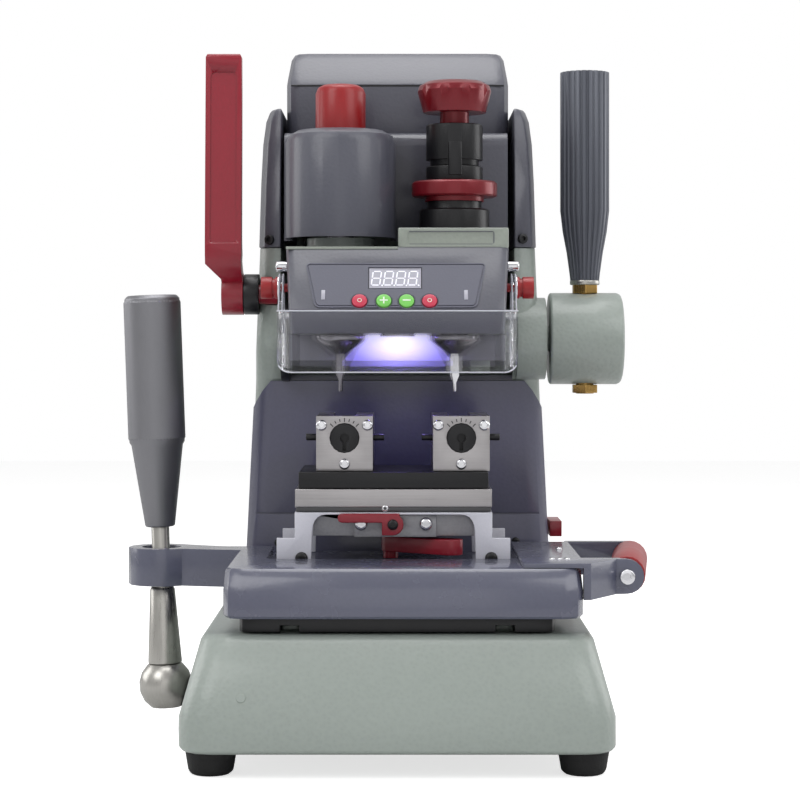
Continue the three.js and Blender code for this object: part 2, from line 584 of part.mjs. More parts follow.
function buildVice(side, centreX, parent) {
  const place = groupAt(centreX, 0, viceBottom, parent);
  const half = vice.width / 2;
  const { front, back, frontWall, slotLeft, slotRight, screwRadius, screwDepth } = vice;
  const screwHeight = screwZ - viceBottom;
  const floor = jawFloor - viceBottom;
  const screwHole = rodY(0, screwHeight, front - 1, front + screwDepth + gap, screwRadius + gap);
  const body = cut(
    block(-half, half, front, back, 0, vice.height),
    block(-half - 1, slotRight, front + frontWall, back + 1, floor, vice.height + 1),
    block(-half - 1, slotLeft + gap, front + frontWall, back + 1, floor - vice.jawRelief, floor + 1),
    screwHole,
  );
  piece(`vice_body_${side}`, body, materials.steel, place);
  piece(`vice_jaw_${side}`,
    block(-half, slotLeft, front + frontWall + gap, back, floor + gap, vice.height),
    materials.steel, place);
  const socket = rodY(0, 3, front - 2, front + 4, 2.6, 6);
  const disc = cut(rodY(0, 0, front - gap, front + screwDepth, screwRadius), socket);
  piece(`clamp_screw_${side}`, disc, materials.blackPart, groupAt(0, 0, screwHeight, place));
}

function buildLockLevers(tableGroup) {
  const bedPlace = groupAt(bedLock.x, 0, bedLock.z, tableGroup);
  const { hubRadius, reach, thickness } = bedLock;
  const y1 = bridge.front - gap;
  const hub = rodY(0, 0, y1 - thickness, y1, hubRadius);
  const handle = new THREE.Shape();
  handle.moveTo(4, hubRadius);
  handle.lineTo(-reach + 2.6, hubRadius);
  handle.absarc(-reach + 2.6, hubRadius - 2.6, 2.6, Math.PI / 2, -Math.PI / 2, false);
  handle.lineTo(-hubRadius, hubRadius - 5.2);
  handle.lineTo(-hubRadius, -hubRadius);
  handle.lineTo(0, -hubRadius);
  handle.lineTo(4, 0);
  handle.closePath();
  piece("bed_lock_lever", join(hub, alongY(handle, y1 - thickness, y1), rodY(0, 0, y1 - 1, y1 + 16, 3)),
    materials.redPaint, bedPlace);

  const lockZ = panFloor + 4.5;
  const tablePlace = groupAt(tableLock.x, tableLock.y, lockZ, tableGroup);
  tablePlace.rotation.z = THREE.MathUtils.degToRad(tableLock.angle);
  const arm = new THREE.Shape();
  arm.moveTo(0, -5.5);
  arm.lineTo(tableLock.reach, -tableLock.endRadius);
  arm.absarc(tableLock.reach, 0, tableLock.endRadius, -Math.PI / 2, Math.PI / 2, false);
  arm.lineTo(0, 5.5);
  arm.absarc(0, 0, 5.5, Math.PI / 2, (3 * Math.PI) / 2, false);
  piece("table_lock_lever", join(alongZ(arm, 0, tableLock.thickness), rodZ(0, 0, gap - 4.5, 1, 4.5)),
    materials.redPaint, tablePlace);

  const sideX = columnSide + column.sideFlare + splash.thickness + sideLock.standoff;
  const sidePlace = groupAt(sideX, sideLock.y, sideLock.z);
  const sideHalf = sideLock.height / 2;
  const bar = new THREE.Shape();
  bar.moveTo(0, sideHalf);
  bar.lineTo(-sideLock.reach, sideHalf);
  bar.lineTo(-sideLock.reach, -sideHalf);
  bar.lineTo(0, -sideHalf);
  bar.absarc(0, 0, sideHalf, -Math.PI / 2, Math.PI / 2, false);
  piece("side_lock_lever", join(
    alongX(bar, 0, sideLock.thickness), rodX(0, 0, -sideX + columnSide - 4, 1, 4),
  ), materials.redPaint, sidePlace);
}

// ---------------------------------------------------------------- head
const faceTilt = Math.atan2(head.browY - head.lipY, head.top - head.lipZ);

// A frame on the console's sloping face: x along X, y up the slope, z out of the face.
function onFace(x, up) {
  const y = head.lipY + Math.sin(faceTilt) * up;
  const z = head.lipZ + Math.cos(faceTilt) * up;
  return new THREE.Matrix4().makeRotationX(Math.PI / 2 - faceTilt).setPosition(x, y, z);
}

function buildHeadCasting(parent) {
  const side = head.halfWidth - head.tuck - head.skin - gap;
  const block0 = { back: 24, front: -22, low: head.bottom + 4, high: head.top - head.skin - gap };
  const carrierHalf = column.channelHalf - 6;
  const plateTop = drive.plateZ + drive.plateThickness;
  const rear = 150;
  const carrier = block(-side, side, block0.front, block0.back + 2, block0.low, block0.high);
  const floorZ = column.channelFloor + head.travel + 3;
  const floor = block(-carrierHalf, carrierHalf, block0.back + 1, rear, floorZ, block0.low + 15);
  const backWall = block(-carrierHalf, carrierHalf, rear - 12, rear, floorZ, plateTop);
  const motorPlate = block(-carrierHalf + 4, carrierHalf - 4, drive.motorY - 36, rear, drive.plateZ, plateTop);
  const ribs = [-carrierHalf, carrierHalf - 5].map((x) =>
    alongX(outline([[rear - 60, block0.low + 10], [rear - 5, block0.low + 10], [rear - 5, drive.plateZ + 2], [rear - 20, drive.plateZ + 2]]), x, x + 5));
  const apron = block(-side, side, 17, 19.4, head.bottom - 16, block0.low + 2);
  const spindleBoss = rodZ(-toolX, 0, block0.high - 1, spindleCover.bottom - gap, 20);
  const reach = pinion.module * (pinion.teeth / 2 + 1);
  const pinionRoom = block(pinion.x - 3, 200, pinion.y - reach - 1.2, pinion.y + reach + 2,
    pinion.z - reach - 2, pinion.z + reach + head.travel + 2);
  const rackRoom = block(pinion.x - 1 - gap, 200, block0.back - 3.3, block0.back + 30, 0, block0.high + 5);
  const bores = [
    rodZ(-toolX, 0, 0, 400, spindleShaft.radius + runGap), rodZ(toolX, 0, 0, 400, 18.3),
    rodZ(0, drive.motorY, drive.plateZ - 1, plateTop + 1, 9),
  ];
  const bearingSeats = [[0, block0.low + 9], [spindleCover.bottom - 9, 500]].map(([z0, z1]) =>
    rodZ(-toolX, 0, z0, z1, 15.3));
  piece("head_casting",
    cut(join(carrier, floor, backWall, motorPlate, apron, spindleBoss, ...ribs), pinionRoom, rackRoom, ...bores, ...bearingSeats),
    materials.paleCasting, parent);
  return { block0, plateTop };
}

function buildConsole(parent) {
  const { halfWidth, bottom, top, lipZ, lipY, browY, chinY, back, skin, corner, tuck } = head;
  const section = (z, y0, x, shrink) => ({
    z, x0: -x + shrink, x1: x - shrink, y0: y0 + shrink, y1: back, r: corner,
  });
  const outer = loft([
    section(bottom, chinY, halfWidth - tuck, 0), section(lipZ - 1, lipY + 0.5, halfWidth - tuck, 0),
    section(lipZ + 1, lipY, halfWidth - tuck, 0), section(top - 1, browY - 0.5, halfWidth, 0),
    section(top, browY, halfWidth, 0.6),
  ]);
  const inner = loft([
    section(bottom + skin, chinY + 2, halfWidth - tuck, skin), section(lipZ, lipY + 2.4, halfWidth - tuck, skin),
    section(top - skin, browY + 0.5, halfWidth, skin),
  ]);
  const openSide = halfWidth - tuck - skin;
  const openBack = block(-openSide, openSide, back - 12, back + 5, bottom + skin, top - skin);
  const tab = slab(0.6, halfWidth - 0.5, browY + 1, browY + 11, top - 2, top + 11, 1.2);
  const tabRecess = block(6, halfWidth - 9, browY - 1, browY + 1.9, top + 2, top + 9);
  const holes = [
    rodZ(-toolX, 0, top - 8, top + 4, 20.4), rodZ(toolX, 0, top - 8, top + 1, 18.4),
    rodZ(-toolX, 0, bottom - 1, bottom + 8, tool.noseRadius + runGap),
    rodZ(toolX, 0, bottom - 1, bottom + 8, tool.noseRadius + runGap),
    rodX(shield.pivotY, shield.pivotZ, -halfWidth - 5, halfWidth + 5, knob.pin + gap),
    block(-halfWidth + 3, halfWidth - 3, 16.4, back + 5, bottom - 1, bottom + 8),
  ];
  const display = block(-15.3, 15.3, -7.2, 7.2, -1.6, 4).transform(onFace(-1.3, 22).toArray());
  const buttonHoles = button.places.map((x) =>
    rodZ(0, 0, -8, 4, button.radius + gap).transform(onFace(x, button.row).toArray()));
  piece("console", cut(join(outer, tab), inner, openBack, tabRecess, display, ...holes, ...buttonHoles),
    materials.greyCasting, parent);

  const names = ["button_motor", "button_plus", "button_minus", "button_lamp"];
  button.places.forEach((x, i) => {
    const cap = turned([
      [0, -3.4], [button.radius, -3.4], [button.radius, button.proud - 0.5], [button.radius - 0.6, button.proud],
      [0, button.proud],
    ], 14);
    const place = new THREE.Group();
    place.applyMatrix4(onFace(x, button.row));
    parent.add(place);
    piece(names[i], cap, i === 1 || i === 2 ? materials.greenPlastic : materials.redPlastic, place);
  });
}

function buildSpindleCover(parent) {
  const { radius, top, bottom, wall, frontY, shelf } = spindleCover;
  const half = column.channelHalf - 2;
  const dome = (r, high, low, round) => {
    const plan = new THREE.Shape();
    plan.absarc(-toolX, 0, r, Math.PI, 2 * Math.PI, false);
    plan.lineTo(-toolX + r, frontY + 10);
    plan.lineTo(-toolX - r, frontY + 10);
    plan.closePath();
    const body = extruded(plan, high - low, [[1, 0, 0], [0, 1, 0], [0, 0, 1]], [0, 0, low], 6);
    if (!round) return body;
    const ease = loft([
      { z: low - 1, x0: -toolX - r, x1: -toolX + r, y0: -r, y1: frontY + 20, r: r - 0.5 },
      { z: high - round, x0: -toolX - r, x1: -toolX + r, y0: -r, y1: frontY + 20, r: r - 0.5 },
      { z: high - round * 0.4, x0: -toolX - r + 2, x1: -toolX + r - 2, y0: -r + 2, y1: frontY + 20, r: r - 2.5 },
      { z: high, x0: -toolX - r + round, x1: -toolX + r - round, y0: -r + round, y1: frontY + 20, r: r - round - 0.5 },
    ], 5);
    return body.intersect(ease);
  };
  const rearShape = (grow, ease) => {
    const y0 = frontY + grow;
    const shape = new THREE.Shape();
    shape.moveTo(y0, bottom - (grow ? 2 : 0));
    shape.lineTo(y0, shelf - grow - ease);
    shape.quadraticCurveTo(y0, shelf - grow, y0 + ease, shelf - grow);
    shape.lineTo(60 + (grow ? 5 : 0), shelf - grow);
    shape.lineTo(60 + (grow ? 5 : 0), bottom - (grow ? 2 : 0));
    shape.closePath();
    return shape;
  };
  const rear = alongX(rearShape(0, 9), -half, half - 2);
  const rearHollow = alongX(rearShape(wall, 6), -half + wall, half - 2 - wall);
  const capHole = rodZ(-toolX, 0, top - 12, top + 2, cap.radius + gap);
  const frontWindow = block(-toolX - radius + wall, -toolX + radius - wall, 5, frontY + 12, bottom - 2, shelf - 9);
  piece("spindle_cover",
    cut(join(dome(radius, top, bottom, 7), rear), dome(radius - wall, top - wall, bottom - 1, 0), rearHollow, frontWindow, capHole),
    materials.darkCasting, parent);

  piece("spindle_cap", turned([
    [0, spindleCover.top - 9], [cap.radius, spindleCover.top - 9], [cap.radius, cap.top - 5],
    [cap.radius - 1.4, cap.top - 1.6], [cap.radius - 4.5, cap.top], [0, cap.top + 0.4],
  ], 24), materials.redPlastic, groupAt(-toolX, 0, 0, parent));
}

function buildMotorCover(parent) {
  const { halfWidth, front, back, bottom, brow, top, slope } = motorCover;
  const section = (z, grow, x, y0, y1) => ({
    z, x0: -x + grow, x1: x - grow, y0: y0 + grow, y1: y1 - grow, r: 9 - grow,
  });
  const shell = (grow) => [
    section(bottom, grow, halfWidth, front, back), section(brow - grow, grow, halfWidth, front, back),
    section(brow + 4 - grow, grow, halfWidth - 0.4, front + 2.6, back),
    section(top - 4 - grow, grow, halfWidth - 2, front + slope - 5, back - 1),
    section(top - grow, grow, halfWidth - 4, front + slope, back - 4),
  ];
  const inner = shell(3);
  inner[0].z -= 1;
  piece("motor_cover", cut(loft(shell(0)), loft(inner)), materials.darkCasting, parent);
}

function buildDrive(parent, plateTop) {
  const { motorY, motorRadius, motorPulley, spindlePulley, beltBottom, beltThickness } = drive;
  const motorPlace = groupAt(0, motorY, 0, parent);
  const bodyTop = motorCover.brow + 8;
  piece("motor", join(
    rodZ(0, 0, plateTop + gap, plateTop + 6, motorRadius + 2), rodZ(0, 0, plateTop + 5, bodyTop, motorRadius),
    rodZ(0, 0, bodyTop - 1, bodyTop + 6, 12),
  ), materials.blackPart, motorPlace);
  const pulley = (r, top) => [
    [0, beltBottom - 3], [r + 2.5, beltBottom - 3], [r + 2.5, beltBottom - 0.8], [r, beltBottom - 0.8],
    [r, beltTop + 0.8], [r + 2.5, beltTop + 0.8], [r + 2.5, top - 0.5], [9.5, top - 0.5], [9.5, top], [0, top],
  ];
  piece("motor_pulley", turned(pulley(motorPulley, drive.plateZ - runGap), 20), materials.steel, motorPlace);

  const run = Math.hypot(toolX, motorY);
  const lean = Math.acos((motorPulley - spindlePulley) / run);
  const loop = (extra) => {
    const shape = new THREE.Shape();
    shape.absarc(0, 0, spindlePulley + gap + extra, lean, 2 * Math.PI - lean, false);
    shape.absarc(run, 0, motorPulley + gap + extra, -lean, lean, false);
    shape.closePath();
    return shape;
  };
  const ring = loop(beltThickness);
  ring.holes.push(loop(0));
  const belt = extruded(ring, drive.beltWidth, [[1, 0, 0], [0, 1, 0], [0, 0, 1]], [0, 0, 0], 10);
  const beltPlace = groupAt(-toolX, 0, beltBottom, parent);
  beltPlace.rotation.z = Math.atan2(motorY, toolX);
  // The loop is drawn with the pulleys' flat sides, and turned so that it runs from spindle to motor.
  piece("drive_belt", belt, materials.rubber, beltPlace);
}

// A collet nose below a shaft: the profile shared by the spindle and the tracer's chuck.
function nose(shaftTop, bore) {
  const { noseRadius, noseTop, noseBottom } = tool;
  return [
    [bore, noseBottom], [4, noseBottom], [5.5, noseBottom + 1.4], [9.5, noseBottom + 4], [noseRadius - 0.8, noseBottom + 7.4],
    [noseRadius, noseBottom + 8.6], [noseRadius, noseTop], [spindleShaft.radius, noseTop],
    ...shaftTop, [0, noseBottom + 30], [bore, noseBottom + 30], [bore, noseBottom],
  ];
}

function buildSpindle(parent) {
  const place = groupAt(-toolX, 0, 0, parent);
  const { beltBottom, spindlePulley: r } = drive;
  const { radius, top } = spindleShaft;
  piece("spindle", turned(nose([
    [radius, beltBottom - 3], [r + 2.5, beltBottom - 3], [r + 2.5, beltBottom - 0.8], [r, beltBottom - 0.8],
    [r, beltTop + 0.8], [r + 2.5, beltTop + 0.8], [r + 2.5, beltTop + 2.6], [radius, beltTop + 2.6],
    [radius, top], [0, top],
  ], tool.shankRadius + gap), 32), materials.chrome, place);
  const { shankRadius, tip } = tool;
  piece("cutter", turned([
    [0, tip], [1.1, tip], [1.3, tip + 0.4], [1.3, tip + 7], [shankRadius, tip + 10.5],
    [shankRadius, tool.noseBottom + 27], [0, tool.noseBottom + 27],
  ], 16), materials.steel, place);
}

function buildTracer(parent) {
  const place = groupAt(toolX, 0, 0, parent);
  const t = tracer;
  const bore = t.quillRadius + gap + 0.2;
  const low = head.bottom + 5;
  piece("tracer_body", turned([
    [bore, low], [18, low], [18, head.top + gap], [t.baseRadius, head.top + gap], [t.baseRadius, t.baseTop - 1],
    [t.baseRadius - 1, t.baseTop], [t.neckRadius, t.baseTop], [t.neckRadius, t.ringTop + 0.6],
    [t.collarRadius, t.ringTop + 0.6], [t.collarRadius, t.collarTop - 0.5], [t.collarRadius - 0.5, t.collarTop],
    [bore, t.collarTop], [bore, low],
  ], 24), materials.blackPart, place);
  const ringBore = t.neckRadius + gap;
  piece("tracer_ring", turned([
    [ringBore, t.ringBottom - 2.8], [17.7, t.ringBottom - 2.8], [17.7, t.ringBottom], [t.ringRadius - 1, t.ringBottom],
    [t.ringRadius, t.ringBottom + 1], [t.ringRadius, t.ringTop - 1.2], [t.ringRadius - 1.2, t.ringTop],
    [ringBore, t.ringTop], [ringBore, t.ringBottom - 2.8],
  ], 28), materials.redPaint, place);
  const sleeve = turned([
    [bore, t.collarTop + gap], [14.6, t.collarTop + gap], [14.6, t.sleeveBottom], [t.collarRadius, t.sleeveBottom],
    [t.collarRadius, t.sleeveTop - 0.6], [t.collarRadius - 0.6, t.sleeveTop], [bore, t.sleeveTop],
    [bore, t.collarTop + gap],
  ], 24);
  const halfKey = t.keyWidth / 2;
  const key = cut(
    slab(-halfKey, halfKey, -t.collarRadius - 3.6, -t.collarRadius + 2, t.ringTop + 3, t.sleeveTop - 11.7, 1),
    rodZ(0, 0, t.ringTop, t.sleeveBottom, t.collarRadius + gap),
  );
  piece("tracer_sleeve", join(sleeve, key), materials.blackPart, place);

  const waves = 10;
  const knobTurned = turned([
    [0, t.knobBottom], [t.knobRadius - 3.4, t.knobBottom], [t.knobRadius, t.knobTop - 6.5],
    [t.knobRadius - 1.2, t.knobTop - 3.2], [t.knobRadius - 5.4, t.knobTop - 0.8], [0, t.knobTop],
  ], 30);
  const flutes = Array.from({ length: waves }, (_, i) => {
    const turn = (i / waves) * 2 * Math.PI;
    const far = t.knobRadius + 3.6;
    return rodZ(far * Math.cos(turn), far * Math.sin(turn), t.knobBottom - 1, t.knobTop + 1, 5, 5, 8);
  });
  const stem = rodZ(0, 0, t.collarTop - 26, t.knobBottom + 1, t.quillRadius, t.quillRadius, 24);
  piece("tracer_knob", join(cut(knobTurned, ...flutes), stem), materials.redPaint, place);

  const quillTop = t.collarTop - 28;
  piece("tracer_chuck", turned(nose([
    [spindleShaft.radius, quillTop], [0, quillTop],
  ], tool.shankRadius + gap), 32), materials.chrome, place);
  const { shankRadius, tip } = tool;
  piece("tracer_pin", turned([
    [0, tip], [0.8, tip], [1.1, tip + 0.3], [1.1, tip + 5.2], [shankRadius, tip + 9.5],
    [shankRadius, tool.noseBottom + 27], [0, tool.noseBottom + 27],
  ], 16), materials.chrome, place);
}

function buildShield(parent) {
  const { halfWidth, wall, front, bottom, top, pivotY, pivotZ, ear } = shield;
  const place = groupAt(0, pivotY, pivotZ, parent);
  const rearY = 14;
  const roundU = (grow) => slab(-halfWidth + grow, halfWidth - grow, front - pivotY + grow, rearY + (grow ? 20 : 0),
    bottom - pivotZ - (grow ? 1 : 0), ear + (grow ? 1 : 0), 9 - grow, 3);
  const sideShape = new THREE.Shape();
  const lip = top - pivotZ;
  sideShape.moveTo(front - pivotY - 1, bottom - pivotZ);
  sideShape.lineTo(front - pivotY - 1, lip);
  sideShape.lineTo(-20, lip);
  sideShape.quadraticCurveTo(-ear - 2, lip + 2, -ear, 0);
  sideShape.absarc(0, 0, ear, Math.PI, 0, true);
  sideShape.quadraticCurveTo(ear, lip - 4, 12, bottom - pivotZ + 10);
  sideShape.quadraticCurveTo(13, bottom - pivotZ, 5, bottom - pivotZ);
  sideShape.closePath();
  const fromSide = alongX(sideShape, -halfWidth - 1, halfWidth + 1);
  const r = 8;
  const z0 = bottom - pivotZ;
  const frontShape = new THREE.Shape();
  frontShape.moveTo(-halfWidth + r, z0);
  frontShape.absarc(halfWidth - r, z0 + r, r, -Math.PI / 2, 0, false);
  frontShape.lineTo(halfWidth, ear + 1);
  frontShape.lineTo(-halfWidth, ear + 1);
  frontShape.absarc(-halfWidth + r, z0 + r, r, Math.PI, 1.5 * Math.PI, false);
  const fromFront = alongY(frontShape, front - pivotY - 1, rearY + 1);
  const pinHole = rodX(0, 0, -halfWidth - 2, halfWidth + 2, knob.pin + gap);
  piece("shield", cut(roundU(0), roundU(wall), pinHole).intersect(fromSide).intersect(fromFront),
    materials.clear, place);

  for (const [side, sx] of [["left", -1], ["right", 1]]) {
    const inside = head.halfWidth - head.skin - 2;
    const start = halfWidth + gap;
    const spanOf = (a, b) => [Math.min(sx * a, sx * b), Math.max(sx * a, sx * b)];
    const grip = rodX(0, 0, ...spanOf(start, start + knob.length), knob.radius, 18);
    const groove = cut(
      rodX(0, 0, ...spanOf(start + 2.2, start + 4), knob.radius + 1, 18),
      rodX(0, 0, ...spanOf(start, start + 6), knob.radius - 1, 18),
    );
    const pin = rodX(0, 0, ...spanOf(inside, start + 1), knob.pin, 12);
    piece(`shield_knob_${side}`, join(cut(grip, groove), pin), materials.redPlastic, groupAt(0, pivotY, pivotZ, parent));
  }
}

// ---------------------------------------------------------------- rack, pinion and head lever
// Half of an involute tooth as [radius, angle from the tooth's middle], thinned a little for backlash.
function toothFlank(m, teeth, steps = 2) {
  const pressure = THREE.MathUtils.degToRad(20);
  const pitch = (m * teeth) / 2;
  const baseRadius = pitch * Math.cos(pressure);
  const involute = (r) => {
    const a = Math.acos(Math.min(1, baseRadius / r));
    return Math.tan(a) - a;
  };
  const halfTooth = Math.PI / (2 * teeth) - 0.35 / pitch;
  const outer = pitch + m * 0.92;
  return Array.from({ length: steps + 1 }, (_, i) => {
    const r = baseRadius + ((outer - baseRadius) * i) / steps;
    return [r, halfTooth + involute(pitch) - involute(r)];
  });
}

function buildRack(parent, block0) {
  const { module: m, x, y, z, width } = pinion;
  const pitchLine = y - pitchRadius;
  const step = Math.PI * m;
  const slope = Math.tan(THREE.MathUtils.degToRad(20));
  const low = z - 2 * step;
  const high = z + head.travel + 2 * step;
  const root = pitchLine - m * 1.2;
  const crest = pitchLine + m * 0.9;
  const quarter = step / 4 - 0.15;
  const points = [[block0.back - 3, low], [root, low]];
  // A gap of the rack faces the pinion's axis, where one of its teeth points.
  const first = Math.ceil((low - z) / step - 0.5) + 0.5;
  for (let k = first; z + k * step + step / 2 < high; k += 1) {
    const middle = z + k * step;
    if (middle - step / 2 < low) continue;
    points.push([root, middle - quarter - slope * m * 1.2], [crest, middle - quarter + slope * m * 0.9],
      [crest, middle + quarter - slope * m * 0.9], [root, middle + quarter + slope * m * 1.2]);
  }
  points.push([root, high], [block0.back - 3, high]);
  const rack = alongX(outline(points), x - 1, x + width + 1);
  piece("head_rack", rack, materials.steel, parent);
}

function buildHeadLever() {
  const place = groupAt(0, pinion.y, pinion.z);
  const flank = toothFlank(pinion.module, pinion.teeth);
  const rootRadius = pitchRadius - pinion.module * 1.25;
  const gear = new THREE.Shape();
  for (let i = 0; i < pinion.teeth; i++) {
    const middle = Math.PI + (i * 2 * Math.PI) / pinion.teeth;
    const side = [[rootRadius, flank[0][1]], ...flank];
    const points = [...side.map(([r, a]) => [r, middle - a]), ...side.reverse().map(([r, a]) => [r, middle + a])];
    points.forEach(([r, a], k) => {
      const at = [r * Math.cos(a), r * Math.sin(a)];
      i === 0 && k === 0 ? gear.moveTo(...at) : gear.lineTo(...at);
    });
  }
  gear.closePath();
  const { x, width, shaftRadius } = pinion;
  const right = hubX + zHub.width;
  const round = 3;
  const drum = turned([
    [0, hubX], [zHub.radius - 1, hubX], [zHub.radius, hubX + 1], [zHub.radius, right - round],
    [zHub.radius - 0.9, right - 0.9], [zHub.radius - round, right], [0, right],
  ], 24).transform(new THREE.Matrix4().makeRotationY(Math.PI / 2).toArray());
  const rodX0 = hubX + zHub.width / 2;
  const rodHole = rodZ(rodX0, 0, -50, 50, zHub.rodRadius + gap);
  piece("head_lever_hub",
    cut(join(drum, rodX(0, 0, x - 2, hubX + 2, shaftRadius), alongX(gear, x, x + width)), rodHole),
    materials.paleCasting, place);

  const gripTop = zHub.lever;
  const gripLow = gripTop - zHub.gripLength;
  const rodPlace = groupAt(rodX0, 0, 0, place);
  const nutTop = -zHub.radius - gap;
  piece("head_lever_rod", join(
    rodZ(0, 0, nutTop - 5.5, gripLow + 30, zHub.rodRadius, zHub.rodRadius, 20),
    rodZ(0, 0, nutTop - 5, nutTop, 8.6, 8.6, 6),
  ), materials.brass, rodPlace);
  const shoulder = gripLow + 44;
  const plain = turned([
    [zHub.rodRadius + gap, gripLow], [7, gripLow], [7.6, gripLow + 1], [zHub.grip - 1.4, shoulder - 4],
    [zHub.grip, shoulder + 2], [zHub.grip, gripTop - 2], [zHub.grip - 2, gripTop], [0, gripTop],
    [0, gripLow + 31], [zHub.rodRadius + gap, gripLow + 31], [zHub.rodRadius + gap, gripLow],
  ], 24);
  piece("head_lever_grip", plain, materials.darkCasting, rodPlace);
}

function buildHeadLock() {
  const { y, z, bossRadius, bossWidth, spacer, armWidth, armTop } = zLock;
  const place = groupAt(0, y, z);
  const inner = -columnSide - spacer - gap;
  const boss = rodX(0, 0, inner - bossWidth, inner, bossRadius);
  const stub = rodX(0, 0, inner - 1, -column.channelHalf - 2, 6);
  const high = armTop - z;
  const side = new THREE.Shape();
  side.moveTo(-8, 6);
  side.quadraticCurveTo(-24, 12, -23, 30);
  side.quadraticCurveTo(-20, 90, -16, high - 1.5);
  side.lineTo(-15, high);
  side.lineTo(-9, high);
  side.lineTo(-8, high - 1.5);
  side.quadraticCurveTo(-12, 90, -14, 34);
  side.quadraticCurveTo(-13, 20, 6, 10);
  side.closePath();
  const armLeft = inner - bossWidth - 9;
  const neck = new THREE.Shape();
  neck.moveTo(inner - bossWidth, -2);
  neck.lineTo(inner, -2);
  neck.lineTo(inner - 0.4, 20);
  neck.lineTo(armLeft + armWidth - 0.6, 30);
  neck.lineTo(armLeft + armWidth - 1.6, high - 2);
  neck.lineTo(armLeft + armWidth - 3, high + 1);
  neck.lineTo(armLeft + 1.4, high + 1);
  neck.lineTo(armLeft, high - 2);
  neck.lineTo(armLeft, 18);
  neck.lineTo(inner - bossWidth, 9);
  neck.closePath();
  const arm = alongX(side, armLeft - 5, inner).intersect(alongY(neck, -40, 40));
  piece("head_lock_lever", join(boss, stub, arm), materials.redPaint, place);
}

// ---------------------------------------------------------------- the whole machine
buildBase();
buildColumn();
buildHood();
buildSplashPanel();
buildRearCover();
buildPowerInlet();
buildHeadLever();
buildHeadLock();

const crossSlideGroup = groupAt(0, 0, 0);
buildCrossSlide(crossSlideGroup);
const tableGroup = groupAt(0, 0, 0, crossSlideGroup);
buildTable(tableGroup);
buildHandLever();
buildRollerGrip(tableGroup);
buildBridge(tableGroup);
buildVice("left", table.restX - toolX, tableGroup);
buildVice("right", table.restX + toolX, tableGroup);
buildLockLevers(tableGroup);

const headGroup = groupAt(0, 0, 0);
const { block0, plateTop } = buildHeadCasting(headGroup);
buildConsole(headGroup);
buildSpindleCover(headGroup);
buildMotorCover(headGroup);
buildDrive(headGroup, plateTop);
buildSpindle(headGroup);
buildTracer(headGroup);
buildShield(headGroup);
buildRack(headGroup, block0);

// The row's origin is the middle of the machine's footprint on the bench.
const gripTop = lever.gripBottom + lever.gripLength;
const leftReach = leverBallX - Math.sin(leverLean) * gripTop - Math.cos(leverLean) * lever.gripRadius;
const rightReach = Math.max(fork.backX + fork.rollerRadius, hubX + zHub.width);
machine.position.set(-(leftReach + rightReach) / 2, -(base.front + base.back) / 2, 0);

export default machine;
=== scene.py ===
import json
from math import atan2, cos, pi, radians, sin

import bpy
from mathutils import Matrix, Vector
from mathutils.bvhtree import BVHTree


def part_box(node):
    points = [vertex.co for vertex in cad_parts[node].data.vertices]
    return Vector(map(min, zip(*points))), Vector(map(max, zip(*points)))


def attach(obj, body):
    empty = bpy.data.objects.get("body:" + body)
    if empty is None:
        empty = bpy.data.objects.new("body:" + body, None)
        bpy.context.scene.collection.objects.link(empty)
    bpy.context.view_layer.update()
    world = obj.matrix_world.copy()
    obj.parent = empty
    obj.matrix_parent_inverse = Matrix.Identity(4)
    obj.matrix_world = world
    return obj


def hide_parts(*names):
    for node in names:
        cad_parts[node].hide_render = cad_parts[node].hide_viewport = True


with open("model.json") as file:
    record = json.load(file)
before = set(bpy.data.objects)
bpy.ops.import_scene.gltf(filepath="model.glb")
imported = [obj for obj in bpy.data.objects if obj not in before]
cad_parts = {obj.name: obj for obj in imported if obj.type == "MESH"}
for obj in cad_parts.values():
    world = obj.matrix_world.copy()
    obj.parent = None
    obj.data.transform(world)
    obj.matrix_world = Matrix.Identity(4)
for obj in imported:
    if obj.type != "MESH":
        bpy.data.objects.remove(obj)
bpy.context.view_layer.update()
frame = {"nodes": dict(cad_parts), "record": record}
nodes = frame["nodes"]
record = frame["record"]
bodyOf = {n: b for b, members in record["behaviour"]["bodies"].items() for n in members}
mm = 0.001

# The middle of the console and of the vices is the machine's own zero, with the bench at z = 0.
consoleLow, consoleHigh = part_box("console")
viceLow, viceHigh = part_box("vice_body_left")
home = Vector(((consoleLow.x + consoleHigh.x) / 2, (viceLow.y + viceHigh.y) / 2, 0))


def at(x, y, z):
    return home + Vector((x, y, z)) * mm


def facing(point, normal, up=(0, 0, 1)):
    out = Vector(normal).normalized()
    right = Vector(up).cross(out).normalized()
    upward = out.cross(right)
    turn = Matrix((right, upward, out)).transposed().to_4x4()
    return Matrix.Translation(point) @ turn


# small helpers round the modelling operators

def deselect():
    if bpy.context.object and bpy.context.object.mode != "OBJECT":
        bpy.ops.object.mode_set(mode="OBJECT")
    bpy.ops.object.select_all(action="DESELECT")


def only(piece):
    deselect()
    piece.select_set(True)
    bpy.context.view_layer.objects.active = piece
    return piece


def rod(radius, length, sides=32, foot=0.0):
    deselect()
    bpy.ops.mesh.primitive_cylinder_add(
        vertices=sides, radius=radius * mm, depth=length * mm, location=(0, 0, (foot + length / 2) * mm))
    bpy.ops.object.transform_apply()
    return bpy.context.object


def block(width, height, depth, middle=(0, 0, 0)):
    deselect()
    bpy.ops.mesh.primitive_cube_add(size=mm, location=[v * mm for v in middle])
    bpy.context.object.scale = (width, height, depth)
    bpy.ops.object.transform_apply()
    return bpy.context.object


